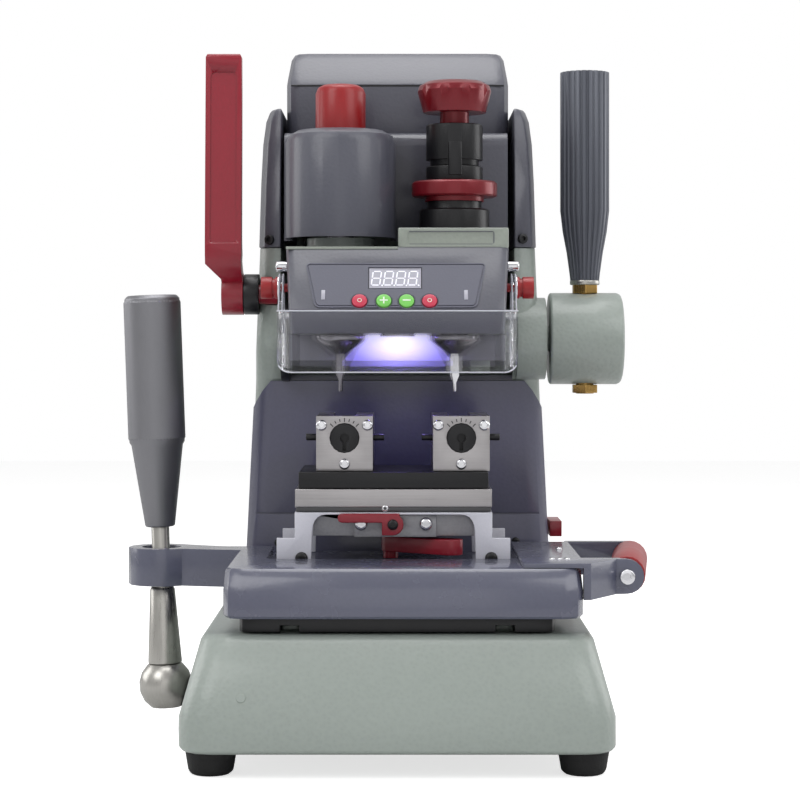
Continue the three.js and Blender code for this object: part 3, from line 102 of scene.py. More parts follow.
def pick(piece, kind, test):
    only(piece)
    bpy.ops.object.mode_set(mode="EDIT")
    bpy.ops.mesh.select_mode(type=kind)
    bpy.ops.mesh.select_all(action="DESELECT")
    bpy.ops.object.mode_set(mode="OBJECT")
    mesh = piece.data
    if kind == "FACE":
        for face in mesh.polygons:
            face.select = test(face)
    elif kind == "EDGE":
        for edge in mesh.edges:
            a, b = (mesh.vertices[i].co for i in edge.vertices)
            edge.select = test(a, b)
    else:
        for vertex in mesh.vertices:
            vertex.select = test(vertex.co)
    bpy.ops.object.mode_set(mode="EDIT")


def leave():
    bpy.ops.object.mode_set(mode="OBJECT")


def inset(width, depth=0.0):
    bpy.ops.mesh.inset(thickness=width * mm, depth=depth * mm)


def pull(x, y, z):
    bpy.ops.mesh.extrude_region_move(TRANSFORM_OT_translate={"value": (x * mm, y * mm, z * mm)})


def modify(piece, kind, **values):
    only(piece)
    modifier = piece.modifiers.new("shape", kind)
    for key, value in values.items():
        setattr(modifier, key, value)
    bpy.ops.object.modifier_apply(modifier=modifier.name)
    return piece


def bevel(piece, width, segments=2, angle=30):
    return modify(piece, "BEVEL", width=width * mm, segments=segments, limit_method="ANGLE",
                  angle_limit=radians(angle), use_clamp_overlap=True)


def cutOut(piece, cutter):
    modify(piece, "BOOLEAN", operation="DIFFERENCE", object=cutter, solver="EXACT")
    bpy.data.objects.remove(cutter)
    return piece


def merge(pieces):
    deselect()
    for piece in pieces:
        piece.select_set(True)
    bpy.context.view_layer.objects.active = pieces[0]
    if len(pieces) > 1:
        bpy.ops.object.join()
    return pieces[0]


def copyOf(piece, place):
    twin = piece.copy()
    twin.data = piece.data.copy()
    bpy.context.scene.collection.objects.link(twin)
    twin.data.transform(place)
    return twin


def smooth(piece, angle=35):
    only(piece)
    bpy.ops.object.shade_smooth_by_angle(angle=radians(angle))


def done(piece, name, body, finish, place=None, angle=35):
    if place is not None:
        piece.data.transform(place)
    smooth(piece, angle)
    piece.name = name
    piece.data.name = name
    piece.data.materials.clear()
    piece.data.materials.append(materials[finish])
    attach(piece, body)
    return piece


def surface(node, point, direction):
    ray = Vector(direction).normalized()
    mesh = nodes[node].data
    tree = BVHTree.FromPolygons([v.co for v in mesh.vertices], [f.vertices for f in mesh.polygons])
    where, normal, _, _ = tree.ray_cast(point - ray * 0.6, ray)
    return (point, -ray) if where is None else (where, normal)


# materials

def linear(colour):
    def channel(value):
        value /= 255
        return value / 12.92 if value <= 0.04045 else ((value + 0.055) / 1.055) ** 2.4
    return tuple(channel(v) for v in colour) + (1.0,)


def newGroup(name, inputs, outputs):
    group = bpy.data.node_groups.new(name, "ShaderNodeTree")
    for label, kind, value in inputs:
        socket = group.interface.new_socket(name=label, in_out="INPUT", socket_type=kind)
        socket.default_value = value
    for label, kind in outputs:
        group.interface.new_socket(name=label, in_out="OUTPUT", socket_type=kind)
    return group, group.nodes.new("NodeGroupInput"), group.nodes.new("NodeGroupOutput")


def node(tree, kind, values=None, **settings):
    made = tree.nodes.new(kind)
    for key, value in settings.items():
        setattr(made, key, value)
    for key, value in (values or {}).items():
        if isinstance(value, bpy.types.NodeSocket):
            tree.links.new(value, made.inputs[key])
        else:
            made.inputs[key].default_value = value
    return made


def math(tree, operation, first, second=0.0, third=0.0):
    return node(tree, "ShaderNodeMath", {0: first, 1: second, 2: third}, operation=operation).outputs[0]


floatSocket, colourSocket, vectorSocket = "NodeSocketFloat", "NodeSocketColor", "NodeSocketVector"
skinOutputs = [("Color", colourSocket), ("Roughness", floatSocket), ("Normal", vectorSocket)]


def buildPaintSkin():
    group, source, target = newGroup("paintSkin", [
        ("Color", colourSocket, (0.5, 0.5, 0.5, 1)), ("Tone Spread", floatSocket, 0.05),
        ("Grain Scale", floatSocket, 600.0), ("Grain Depth", floatSocket, 0.2),
        ("Roughness", floatSocket, 0.4), ("Roughness Spread", floatSocket, 0.1),
        ("Dust", floatSocket, 0.05)], skinOutputs)
    place = node(group, "ShaderNodeTexCoord").outputs["Object"]
    pits = node(group, "ShaderNodeTexVoronoi", {"Vector": place, "Scale": source.outputs["Grain Scale"],
                "Smoothness": 0.8}, feature="SMOOTH_F1").outputs["Distance"]
    fine = node(group, "ShaderNodeTexNoise", {"Vector": place, "Scale": 1900.0, "Detail": 2.0}).outputs[0]
    broad = node(group, "ShaderNodeTexNoise", {"Vector": place, "Scale": 22.0, "Detail": 5.0}).outputs[0]
    smudge = node(group, "ShaderNodeTexNoise", {"Vector": place, "Scale": 60.0, "Detail": 6.0,
                  "Distortion": 0.2}).outputs[0]
    height = math(group, "MULTIPLY_ADD", fine, 0.25, pits)
    bump = node(group, "ShaderNodeBump", {"Height": height, "Strength": source.outputs["Grain Depth"],
                "Distance": 0.0006})
    spread = source.outputs["Tone Spread"]
    tone = math(group, "MULTIPLY_ADD", math(group, "SUBTRACT", broad, 0.5), spread, 1.0)
    speck = math(group, "MULTIPLY_ADD", math(group, "SUBTRACT", pits, 0.35), spread, tone)
    shade = node(group, "ShaderNodeVectorMath", {0: source.outputs["Color"], "Scale": speck},
                 operation="SCALE")
    upward = node(group, "ShaderNodeSeparateXYZ", {0: node(group, "ShaderNodeNewGeometry").outputs["Normal"]})
    lying = math(group, "MULTIPLY", math(group, "MAXIMUM", upward.outputs["Z"], 0.0), smudge)
    dusty = math(group, "MULTIPLY", lying, source.outputs["Dust"])
    # On a colour Mix node, 0 is the factor and 6 and 7 are the two colours.
    mixed = node(group, "ShaderNodeMix", {0: dusty, 6: shade.outputs[0], 7: (0.62, 0.62, 0.6, 1)},
                 data_type="RGBA")
    rough = math(group, "MULTIPLY_ADD", math(group, "SUBTRACT", smudge, 0.5),
                 source.outputs["Roughness Spread"], source.outputs["Roughness"])
    group.links.new(mixed.outputs[2], target.inputs["Color"])
    group.links.new(rough, target.inputs["Roughness"])
    group.links.new(bump.outputs[0], target.inputs["Normal"])
    return group


def buildBrushedSkin():
    group, source, target = newGroup("brushedSkin", [
        ("Color", colourSocket, (0.5, 0.5, 0.5, 1)), ("Tone Spread", floatSocket, 0.2),
        ("Streaks", vectorSocket, (20, 900, 900)), ("Grain Depth", floatSocket, 0.1),
        ("Roughness", floatSocket, 0.3), ("Roughness Spread", floatSocket, 0.2)], skinOutputs)
    place = node(group, "ShaderNodeTexCoord").outputs["Object"]
    stretched = node(group, "ShaderNodeVectorMath", {0: place, 1: source.outputs["Streaks"]},
                     operation="MULTIPLY").outputs[0]
    streaks = node(group, "ShaderNodeTexNoise", {"Vector": stretched, "Scale": 1.0, "Detail": 4.0}).outputs[0]
    broad = node(group, "ShaderNodeTexNoise", {"Vector": place, "Scale": 45.0, "Detail": 3.0}).outputs[0]
    both = math(group, "MULTIPLY_ADD", broad, 0.6, math(group, "MULTIPLY", streaks, 0.8))
    tone = math(group, "MULTIPLY_ADD", math(group, "SUBTRACT", both, 0.7), source.outputs["Tone Spread"], 1.0)
    shade = node(group, "ShaderNodeVectorMath", {0: source.outputs["Color"], "Scale": tone},
                 operation="SCALE")
    rough = math(group, "MULTIPLY_ADD", math(group, "SUBTRACT", both, 0.7),
                 source.outputs["Roughness Spread"], source.outputs["Roughness"])
    bump = node(group, "ShaderNodeBump", {"Height": streaks, "Strength": source.outputs["Grain Depth"],
                "Distance": 0.0003})
    group.links.new(shade.outputs[0], target.inputs["Color"])
    group.links.new(rough, target.inputs["Roughness"])
    group.links.new(bump.outputs[0], target.inputs["Normal"])
    return group


paintSkin = buildPaintSkin()
brushedSkin = buildBrushedSkin()


def newMaterial(name):
    made = bpy.data.materials.new(name)
    made.use_nodes = True
    tree = made.node_tree
    return made, tree, tree.nodes["Principled BSDF"]


def skinMaterial(name, group, values, metallic=0.0, coat=0.0, **plain):
    made, tree, shader = newMaterial(name)
    skin = node(tree, "ShaderNodeGroup", node_tree=group)
    for key, value in values.items():
        skin.inputs[key].default_value = value
    tree.links.new(skin.outputs["Color"], shader.inputs["Base Color"])
    tree.links.new(skin.outputs["Roughness"], shader.inputs["Roughness"])
    tree.links.new(skin.outputs["Normal"], shader.inputs["Normal"])
    shader.inputs["Metallic"].default_value = metallic
    shader.inputs["Coat Weight"].default_value = coat
    shader.inputs["Coat Roughness"].default_value = 0.12
    for key, value in plain.items():
        shader.inputs[key].default_value = value
    made.diffuse_color = values["Color"]
    return made


# colour as seen, tone spread, grain scale, grain depth, roughness, roughness spread, dust, coat, metallic
paints = {
    "palePaint": ((152, 161, 155), 0.10, 420, 0.30, 0.40, 0.14, 0.10, 0.25, 0.0),
    "darkPaint": ((82, 83, 94), 0.08, 520, 0.14, 0.38, 0.12, 0.10, 0.2, 0.0),
    "trayPaint": ((88, 90, 108), 0.08, 480, 0.10, 0.26, 0.14, 0.05, 0.5, 0.0),
    "splashPaint": ((88, 88, 108), 0.10, 520, 0.10, 0.34, 0.14, 0.06, 0.35, 0.0),
    "labelPaint": ((92, 93, 107), 0.05, 900, 0.05, 0.42, 0.08, 0.02, 0.1, 0.0),
    "apronPaint": ((104, 104, 116), 0.08, 620, 0.12, 0.42, 0.12, 0.04, 0.1, 0.0),
    "throatPaint": ((58, 58, 68), 0.10, 620, 0.12, 0.46, 0.12, 0.06, 0.1, 0.0),
    # pale paint on the guard's rims, a painted highlight
    "acrylicEdge": ((196, 198, 208), 0.05, 900, 0.04, 0.30, 0.10, 0.0, 0.3, 0.0),
    "tabPaint": ((150, 157, 148), 0.10, 500, 0.22, 0.42, 0.12, 0.10, 0.2, 0.0),
    "crimson": ((142, 6, 34), 0.10, 460, 0.10, 0.34, 0.12, 0.0, 0.25, 0.0),
    "redMetal": ((116, 8, 24), 0.10, 700, 0.06, 0.32, 0.12, 0.0, 0.2, 0.35),
    "redPlastic": ((150, 14, 20), 0.08, 900, 0.05, 0.38, 0.10, 0.0, 0.1, 0.0),
    "redButton": ((200, 50, 78), 0.06, 1200, 0.04, 0.34, 0.08, 0.0, 0.2, 0.0),
    "greenButton": ((122, 206, 92), 0.06, 1200, 0.04, 0.34, 0.08, 0.0, 0.2, 0.0),
    "symbolPaint": ((235, 245, 230), 0.03, 1500, 0.03, 0.5, 0.05, 0.0, 0.0, 0.0),
    "blackMetal": ((18, 18, 21), 0.25, 900, 0.10, 0.36, 0.16, 0.01, 0.05, 0.3),
    "blackPlastic": ((22, 22, 24), 0.20, 1100, 0.12, 0.5, 0.12, 0.05, 0.0, 0.0),
    "rubber": ((20, 20, 21), 0.25, 1300, 0.25, 0.78, 0.10, 0.12, 0.0, 0.0),
    "whitePaint": ((226, 226, 236), 0.05, 900, 0.06, 0.42, 0.10, 0.03, 0.15, 0.0),
    "greyCasting": ((148, 148, 152), 0.15, 650, 0.18, 0.42, 0.14, 0.0, 0.1, 0.3),
    "displayLens": ((176, 175, 188), 0.05, 1200, 0.02, 0.3, 0.05, 0.0, 0.3, 0.0),
    "gripAnodised": ((88, 91, 100), 0.10, 900, 0.08, 0.44, 0.10, 0.03, 0.1, 0.45),
}
# colour, tone spread, streaks along x, y, z, grain depth, roughness, roughness spread
metals = {
    "steel": ((166, 163, 164), 0.35, (30, 1400, 1400), 0.10, 0.34, 0.25),
    "steelUpright": ((172, 170, 165), 0.30, (1200, 1200, 26), 0.08, 0.30, 0.22),
    "chrome": ((214, 214, 218), 0.12, (300, 300, 300), 0.02, 0.10, 0.08),
    "darkChrome": ((120, 118, 124), 0.25, (300, 300, 300), 0.03, 0.18, 0.12),
    "gripAluminium": ((132, 132, 136), 0.16, (700, 700, 200), 0.08, 0.50, 0.14),
    "brass": ((176, 142, 84), 0.25, (900, 900, 40), 0.06, 0.28, 0.18),
    # painted shade for the bed's lower rebate
    "darkStrip": ((86, 86, 88), 0.25, (30, 1200, 1200), 0.08, 0.42, 0.2),
}
materials = {}
for name, (colour, tone, scale, depth, rough, spread, dust, coat, metallic) in paints.items():
    materials[name] = skinMaterial(name, paintSkin, {
        "Color": linear(colour), "Tone Spread": tone, "Grain Scale": scale, "Grain Depth": depth,
        "Roughness": rough, "Roughness Spread": spread, "Dust": dust}, metallic, coat)
for name, (colour, tone, streaks, depth, rough, spread) in metals.items():
    materials[name] = skinMaterial(name, brushedSkin, {
        "Color": linear(colour), "Tone Spread": tone, "Streaks": streaks, "Grain Depth": depth,
        "Roughness": rough, "Roughness Spread": spread}, 1.0)


def glowMaterial(name, colour, strength):
    made, tree, shader = newMaterial(name)
    place = node(tree, "ShaderNodeTexCoord").outputs["Object"]
    noise = node(tree, "ShaderNodeTexNoise", {"Vector": place, "Scale": 240.0}).outputs[0]
    tone = math(tree, "MULTIPLY_ADD", noise, 0.12, 0.94)
    shade = node(tree, "ShaderNodeVectorMath", {0: linear(colour)[:3], "Scale": tone}, operation="SCALE")
    tree.links.new(shade.outputs[0], shader.inputs["Base Color"])
    tree.links.new(shade.outputs[0], shader.inputs["Emission Color"])
    shader.inputs["Emission Strength"].default_value = strength
    shader.inputs["Roughness"].default_value = 0.4
    return made


# paints the pool of the work lamp's light as a glow, white in the middle and violet outside
def paintedLightPoolMaterial(name, middle, inner, outer, strength):
    made, tree, shader = newMaterial(name)
    place = node(tree, "ShaderNodeTexCoord").outputs["Object"]
    away = node(tree, "ShaderNodeVectorMath", {0: place, 1: middle}, operation="SUBTRACT").outputs[0]
    # painted pool of lamp light: the glow fades out over 33 mm to the sides and 15 mm up and down
    scaled = node(tree, "ShaderNodeVectorMath", {0: away, 1: (30.0, 0.0, 66.0)},
                  operation="MULTIPLY").outputs[0]
    reach = node(tree, "ShaderNodeVectorMath", {0: scaled}, operation="LENGTH").outputs["Value"]
    factor = math(tree, "MINIMUM", reach, 1.0)
    blend = node(tree, "ShaderNodeMix", {0: factor, 6: linear(inner), 7: linear(outer)}, data_type="RGBA")
    tree.links.new(blend.outputs[2], shader.inputs["Base Color"])
    tree.links.new(blend.outputs[2], shader.inputs["Emission Color"])
    shader.inputs["Emission Strength"].default_value = strength
    shader.inputs["Roughness"].default_value = 0.5
    return made


def clearMaterial(name):
    made, tree, shader = newMaterial(name)
    place = node(tree, "ShaderNodeTexCoord").outputs["Object"]
    noise = node(tree, "ShaderNodeTexNoise", {"Vector": place, "Scale": 40.0, "Detail": 3.0}).outputs[0]
    rough = math(tree, "MULTIPLY", math(tree, "POWER", noise, 4.0), 0.06)
    tree.links.new(rough, shader.inputs["Roughness"])
    shader.inputs["Base Color"].default_value = (0.96, 0.97, 0.99, 1)
    shader.inputs["Transmission Weight"].default_value = 1.0
    shader.inputs["IOR"].default_value = 1.45
    shader.inputs["Alpha"].default_value = 0.3
    return made


materials["digitGlow"] = glowMaterial("digitGlow", (240, 240, 248), 0.2)
materials["lampGlow"] = glowMaterial("lampGlow", (160, 140, 255), 46.0)
# painted pool of the work lamp's light on the apron, made to glow though it is no lamp
materials["panelGlow"] = paintedLightPoolMaterial("panelGlow", at(0, 16.6, 240), (250, 248, 255),
                                           (128, 120, 200), 0.75)
materials["acrylic"] = clearMaterial("acrylic")
print("materials made:", len(materials))

# the finish of each CAD piece, and how far the edges of its copy are eased, in mm
nodeFinish = {
    "base_casting": ("palePaint", 1.2), "column_casting": ("palePaint", 0.8),
    "head_casting": ("palePaint", 0), "head_lever_hub": ("palePaint", 0.8),
    "column_hood": ("darkPaint", 0.8), "splash_panel": ("splashPaint", 0.4), "console": ("darkPaint", 0.5),
    "spindle_cover": ("darkPaint", 1.0), "motor_cover": ("darkPaint", 1.2),
    "table_tray": ("trayPaint", 0.8), "grip_bracket": ("trayPaint", 0.6),
    "pivot_block": ("greyCasting", 0.6), "cross_slide": ("blackMetal", 0.4),
    "vice_rail": ("blackMetal", 0.5), "clamp_screw_left": ("blackMetal", 0),
    "clamp_screw_right": ("blackMetal", 0), "tracer_body": ("blackMetal", 0.5),
    "tracer_sleeve": ("blackMetal", 0.5), "motor": ("blackMetal", 0), "rear_cover": ("blackMetal", 0.5),
    "lever_bracket": ("blackMetal", 0.8), "power_inlet": ("blackPlastic", 0.4),
    "foot_front_left": ("rubber", 0.8), "foot_front_right": ("rubber", 0.8),
    "foot_rear_left": ("rubber", 0.8), "foot_rear_right": ("rubber", 0.8), "drive_belt": ("rubber", 0),
    "spindle_cap": ("redPlastic", 0.8), "grip_roller": ("redPlastic", 0.8),
    "shield_knob_left": ("redPlastic", 0.6), "shield_knob_right": ("redPlastic", 0.6),
    "button_motor": ("redButton", 0.5), "button_lamp": ("redButton", 0.5),
    "power_rocker": ("redPlastic", 0.4), "button_plus": ("greenButton", 0.5),
    "button_minus": ("greenButton", 0.5), "tracer_knob": ("redMetal", 0.7),
    "tracer_ring": ("redMetal", 0.5), "bed_lock_lever": ("crimson", 0.7),
    "table_lock_lever": ("crimson", 1.0), "side_lock_lever": ("crimson", 0.8),
    "head_lock_lever": ("crimson", 1.4), "vice_body_left": ("steel", 0.4),
    "vice_body_right": ("steel", 0.4), "vice_jaw_left": ("steel", 0.4), "vice_jaw_right": ("steel", 0.4),
    "vice_bed": ("steel", 0.5), "lever_rod": ("steelUpright", 0.5), "lever_ball": ("steelUpright", 0),
    "cutter": ("darkChrome", 0), "motor_pulley": ("steelUpright", 0.3), "head_rack": ("steelUpright", 0),
    "spindle": ("darkChrome", 0.4), "tracer_chuck": ("darkChrome", 0.4), "tracer_pin": ("chrome", 0),
    "bridge": ("whitePaint", 0.6), "lever_grip": ("gripAluminium", 0.6), "head_lever_rod": ("brass", 0.4),
    "head_lever_grip": ("gripAnodised", 0), "shield": ("acrylic", 0.5),
}
rebuilt = ["head_lever_grip", "clamp_screw_left", "clamp_screw_right"]


def joinedCopy(name, flat):
    piece = nodes[name].copy()
    piece.data = nodes[name].data.copy()
    bpy.context.scene.collection.objects.link(piece)
    piece.parent = None
    piece.matrix_world = Matrix.Identity(4)
    piece.hide_viewport = False
    piece.hide_render = False
    piece.hide_set(False)
    for key in list(piece.keys()):
        del piece[key]
    pick(piece, "VERT", lambda co: True)
    bpy.ops.mesh.select_all(action="SELECT")
    bpy.ops.mesh.remove_doubles(threshold=0.000004)
    bpy.ops.mesh.dissolve_limited(angle_limit=radians(flat))
    return piece


def easedCopy(name, finish, width):
    piece = joinedCopy(name, 0.6)
    leave()
    if width:
        bevel(piece, width, 3, 32)
    label = "".join(word.capitalize() if i else word for i, word in enumerate(name.split("_")))
    done(piece, label + "Shell", bodyOf[name], finish, angle=38)
    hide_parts(name)
    return piece


for name, (finish, width) in nodeFinish.items():
    nodes[name].data.materials.clear()
    nodes[name].data.materials.append(materials[finish])
    if name not in rebuilt:
        easedCopy(name, finish, width)
print("finishes given:", len(nodeFinish))

# screws are modelled once and copied
screwHead = {"radius": 4.0, "height": 3.4, "socket": 2.1, "socketDepth": 2.0, "rim": 0.5}
domeHead = {"radius": 4.0, "height": 2.4, "crown": 1.7, "socket": 1.9, "socketDepth": 1.5}


def makeScrewHead():
    head = rod(screwHead["radius"], screwHead["height"])
    bevel(head, screwHead["rim"], 3)
    return cutOut(head, rod(screwHead["socket"], 6, 6, screwHead["height"] - screwHead["socketDepth"]))


def makeDomeHead():
    head = rod(domeHead["radius"], domeHead["height"] - domeHead["crown"])
    for shrink, rise in ((0.93, 0.7), (0.86, 0.55), (0.78, 0.45)):
        pick(head, "FACE", lambda face: face.normal.z > 0.9)
        pull(0, 0, domeHead["crown"] * rise / 1.7)
        bpy.ops.transform.resize(value=(shrink, shrink, 1))
        leave()
    return cutOut(head, rod(domeHead["socket"], 6, 6, domeHead["height"] - domeHead["socketDepth"]))


screwModel, domeModel = makeScrewHead(), makeDomeHead()


def screws(name, body, finish, spots, model=None):
    model = model or domeModel
    made = []
    for point, normal, radius in spots:
        up = (0, 1, 0) if abs(Vector(normal).normalized().z) > 0.9 else (0, 0, 1)
        size = radius / screwHead["radius"]
        made.append(copyOf(model, facing(point, normal, up) @ Matrix.Scale(size, 4)))
    return done(merge(made), name, body, finish)


def frontScrews(name, node, spots, finish, model=None, body=None):
    found = []
    for x, z, radius in spots:
        where, normal = surface(node, at(x, -200, z), (0, 1, 0))
        found.append((where, normal, radius))
    return screws(name, body or bodyOf[node], finish, found, model)


# the console's face
consoleFace = {"lipY": -62.0, "lipZ": 257.0, "browY": -39.5, "browZ": 292.5}
faceTilt = atan2(consoleFace["browY"] - consoleFace["lipY"], consoleFace["browZ"] - consoleFace["lipZ"])


def onFace(x, z, out=0.0):
    up = (z - consoleFace["lipZ"]) / cos(faceTilt)
    point = at(x, consoleFace["lipY"] + sin(faceTilt) * up - cos(faceTilt) * out, z + sin(faceTilt) * out)
    return facing(point, (0, -cos(faceTilt), sin(faceTilt)))


label = {"z": 270.7, "height": 30.7, "topWidth": 105.0, "footWidth": 93.0, "middle": -0.9, "thickness": 0.7,
         "corner": 3.0, "groove": 0.45, "border": 0.7}
window = {"places": (-42.6, 39.4), "z": 264.9, "width": 2.2, "height": 6.6, "thickness": 0.5, "out": 0.7}
display = {"x": -1.3, "z": 274.8, "width": 29.9, "height": 13.6}
buttons = {"z": 261.2, "hole": 5.4, "places": (-21.7, -7.8, 5.3, 18.5), "ring": 5.0, "ringWire": 0.3,
           "ringOut": 0.55}
buttonMark = {"length": 4.6, "width": 0.9, "thickness": 0.3, "circle": 1.3, "line": 0.5, "sunk": 0.2}


def buildLabel():
    plate = block(label["footWidth"], label["height"], label["thickness"], (0, 0, label["thickness"] / 2))
    pick(plate, "FACE", lambda face: face.normal.y > 0.9)
    bpy.ops.transform.resize(value=(label["topWidth"] / label["footWidth"], 1, 1))
    leave()
    pick(plate, "EDGE", lambda a, b: abs(a.z - b.z) > 0.0005)
    bpy.ops.mesh.bevel(offset=label["corner"] * mm, segments=5)
    leave()
    pick(plate, "FACE", lambda face: face.normal.z > 0.9)
    inset(label["border"])
    inset(0.15, -label["groove"])
    inset(0.5)
    inset(0.15, label["groove"])
    leave()
    place = onFace(label["middle"], label["z"])
    opening = block(display["width"] + 1.2, display["height"] + 1.2, 6)
    opening.data.transform(place.inverted() @ onFace(display["x"], display["z"]))
    cutOut(plate, opening)
    for x in buttons["places"]:
        hole = rod(buttons["hole"], 6, 32, -3)
        hole.data.transform(place.inverted() @ onFace(x, buttons["z"]))
        cutOut(plate, hole)
    done(plate, "labelPlate", "head", "labelPaint", place)
    marks = []
    for x in window["places"]:
        mark = block(window["width"], window["height"], window["thickness"])
        bevel(mark, 0.2, 2)
        mark.data.transform(onFace(x, window["z"], window["out"]))
        marks.append(mark)
    done(merge(marks), "labelWindows", "head", "displayLens")


digit = {"count": 4, "pitch": 7.0, "shift": 0.3, "barLength": 4.1, "barWidth": 0.8, "thickness": 0.25,
         "rise": 4.7, "half": 2.35, "side": 2.4, "slant": 0.12, "out": 0.36,
         "dotRadius": 0.55, "dotX": 3.3, "dotY": -4.9, "dotOut": 0.24}


def buildDisplay():
    lens = block(display["width"], display["height"], 1.8, (0, 0, -0.45))
    pick(lens, "FACE", lambda face: face.normal.z > 0.9)
    inset(0.5)
    inset(0.25, -0.2)
    leave()
    done(lens, "displayLens", "head", "displayLens", onFace(display["x"], display["z"]))
    bar = block(digit["barWidth"], digit["barLength"], digit["thickness"])
    pick(bar, "EDGE", lambda a, b: abs(a.z - b.z) > 0.0001)
    bpy.ops.mesh.bevel(offset=0.38 * mm, segments=1)
    leave()
    side = Matrix.Rotation(pi / 2, 4, "Z")
    slant = Matrix.Identity(4)
    slant[0][1] = digit["slant"]
    lying = [(0, y, True) for y in (digit["rise"], 0, -digit["rise"])]
    standing = [(x, y, False) for y in (digit["half"], -digit["half"])
                for x in (-digit["side"], digit["side"])]
    parts = []
    for i in range(digit["count"]):
        middle = (i - (digit["count"] - 1) / 2) * digit["pitch"] - digit["shift"]
        for x, y, turned in lying + standing:
            move = Matrix.Translation(Vector((x, y, 0)) * mm)
            shift = Matrix.Translation(Vector((middle, 0, digit["out"])) * mm)
            parts.append(copyOf(bar, shift @ slant @ move @ (side if turned else Matrix.Identity(4))))
        dot = rod(digit["dotRadius"], digit["thickness"], 10, digit["dotOut"])
        dot.data.transform(Matrix.Translation(Vector((middle + digit["dotX"], digit["dotY"], 0)) * mm))
        parts.append(dot)
    bpy.data.objects.remove(bar)
    done(merge(parts), "displayDigits", "head", "digitGlow", onFace(display["x"], display["z"]))


def buttonTop(name):
    low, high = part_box(name)
    middle = (low + high) / 2
    out = Vector((0, -cos(faceTilt), sin(faceTilt)))
    reach = max((v.co - middle).dot(out) for v in nodes[name].data.vertices)
    return facing(middle + out * reach, out)


def buildButtons():
    rings = []
    for x in buttons["places"]:
        deselect()
        bpy.ops.mesh.primitive_torus_add(
            major_radius=buttons["ring"] * mm, minor_radius=buttons["ringWire"] * mm,
            major_segments=40, minor_segments=10)
        bpy.context.object.data.transform(onFace(x, buttons["z"], buttons["ringOut"]))
        rings.append(bpy.context.object)
    done(merge(rings), "buttonRings", "head", "labelPaint")
    for name, bars in (("button_plus", 2), ("button_minus", 1)):
        marks = []
        for turn in range(bars):
            bar = block(buttonMark["length"], buttonMark["width"], buttonMark["thickness"])
            bar.data.transform(buttonTop(name) @ Matrix.Rotation(turn * pi / 2, 4, "Z"))
            marks.append(bevel(bar, 0.12, 2))
        done(merge(marks), name.replace("button_", "") + "Mark", name, "symbolPaint")
    for name in ("button_motor", "button_lamp"):
        ring = rod(buttonMark["circle"], 0.24, 24, -0.15)
        pick(ring, "FACE", lambda face: face.normal.z > 0.9)
        inset(buttonMark["line"], -buttonMark["sunk"])
        leave()
        done(ring, name.replace("button_", "") + "Mark", name, "symbolPaint", buttonTop(name))


nameTab = {"left": 0.4, "right": 64.9, "back": -27.7, "bottom": 292.8, "top": 304.9, "proud": 1.0,
           "recess": (6.0, 56.5), "recessZ": (295.2, 302.9), "sink": 0.7}
rimStrip = {"x": -32.3, "y": -39.6, "z": 293.0, "width": 65.2, "height": 1.6, "depth": 2.0, "back": 0.6}


def buildNameTab():
    width, height = nameTab["right"] - nameTab["left"], nameTab["top"] - nameTab["bottom"]
    wall, _ = surface("console", at(30, -200, 299), (0, 1, 0))
    front = (wall.y - home.y) / mm - nameTab["proud"]
    depth = nameTab["back"] - front
    middle = ((nameTab["left"] + nameTab["right"]) / 2, (nameTab["bottom"] + nameTab["top"]) / 2)
    tab = bevel(block(width, height, depth, (0, 0, -depth / 2)), 0.9, 3)
    x0, x1 = nameTab["recess"]
    z0, z1 = nameTab["recessZ"]
    recess = block(x1 - x0, z1 - z0, nameTab["sink"] * 2,
                   ((x0 + x1) / 2 - middle[0], (z0 + z1) / 2 - middle[1], 0))
    pick(recess, "EDGE", lambda a, b: abs(a.z - b.z) > 0.001)
    bpy.ops.mesh.bevel(offset=1.6 * mm, segments=5)
    leave()
    cutOut(tab, recess)
    bevel(tab, 0.15, 2, 40)
    done(tab, "nameTab", "head", "tabPaint",
         facing(at(middle[0], front, middle[1]), (0, -1, 0)))
    rim = block(rimStrip["width"], rimStrip["height"], rimStrip["depth"], (0, 0, -rimStrip["back"]))
    bevel(rim, 0.3, 2)
    done(rim, "consoleRim", "head", "tabPaint",
         facing(at(rimStrip["x"], rimStrip["y"], rimStrip["z"]), (0, -1, 0)))


apron = {"front": 17.0, "z": 234.8, "width": 131.4, "height": 15.6, "thickness": 0.5, "out": 0.2}
# a glowing panel, no lamp, that paints the pool of the work lamp's light on the apron
paintedPoolPanel = {"z": 234.6, "width": 66, "height": 15.5, "thickness": 0.8, "out": 0.3, "topShare": 0.58}
workLamp = {"y": -6, "ring": 10.5, "ringHeight": 2.0, "ringZ": 243.2, "rim": 2.0, "hollow": 0.9,
            "lens": 8.2, "lensHeight": 1.0, "lensZ": 242.8, "lensOut": 0.4}


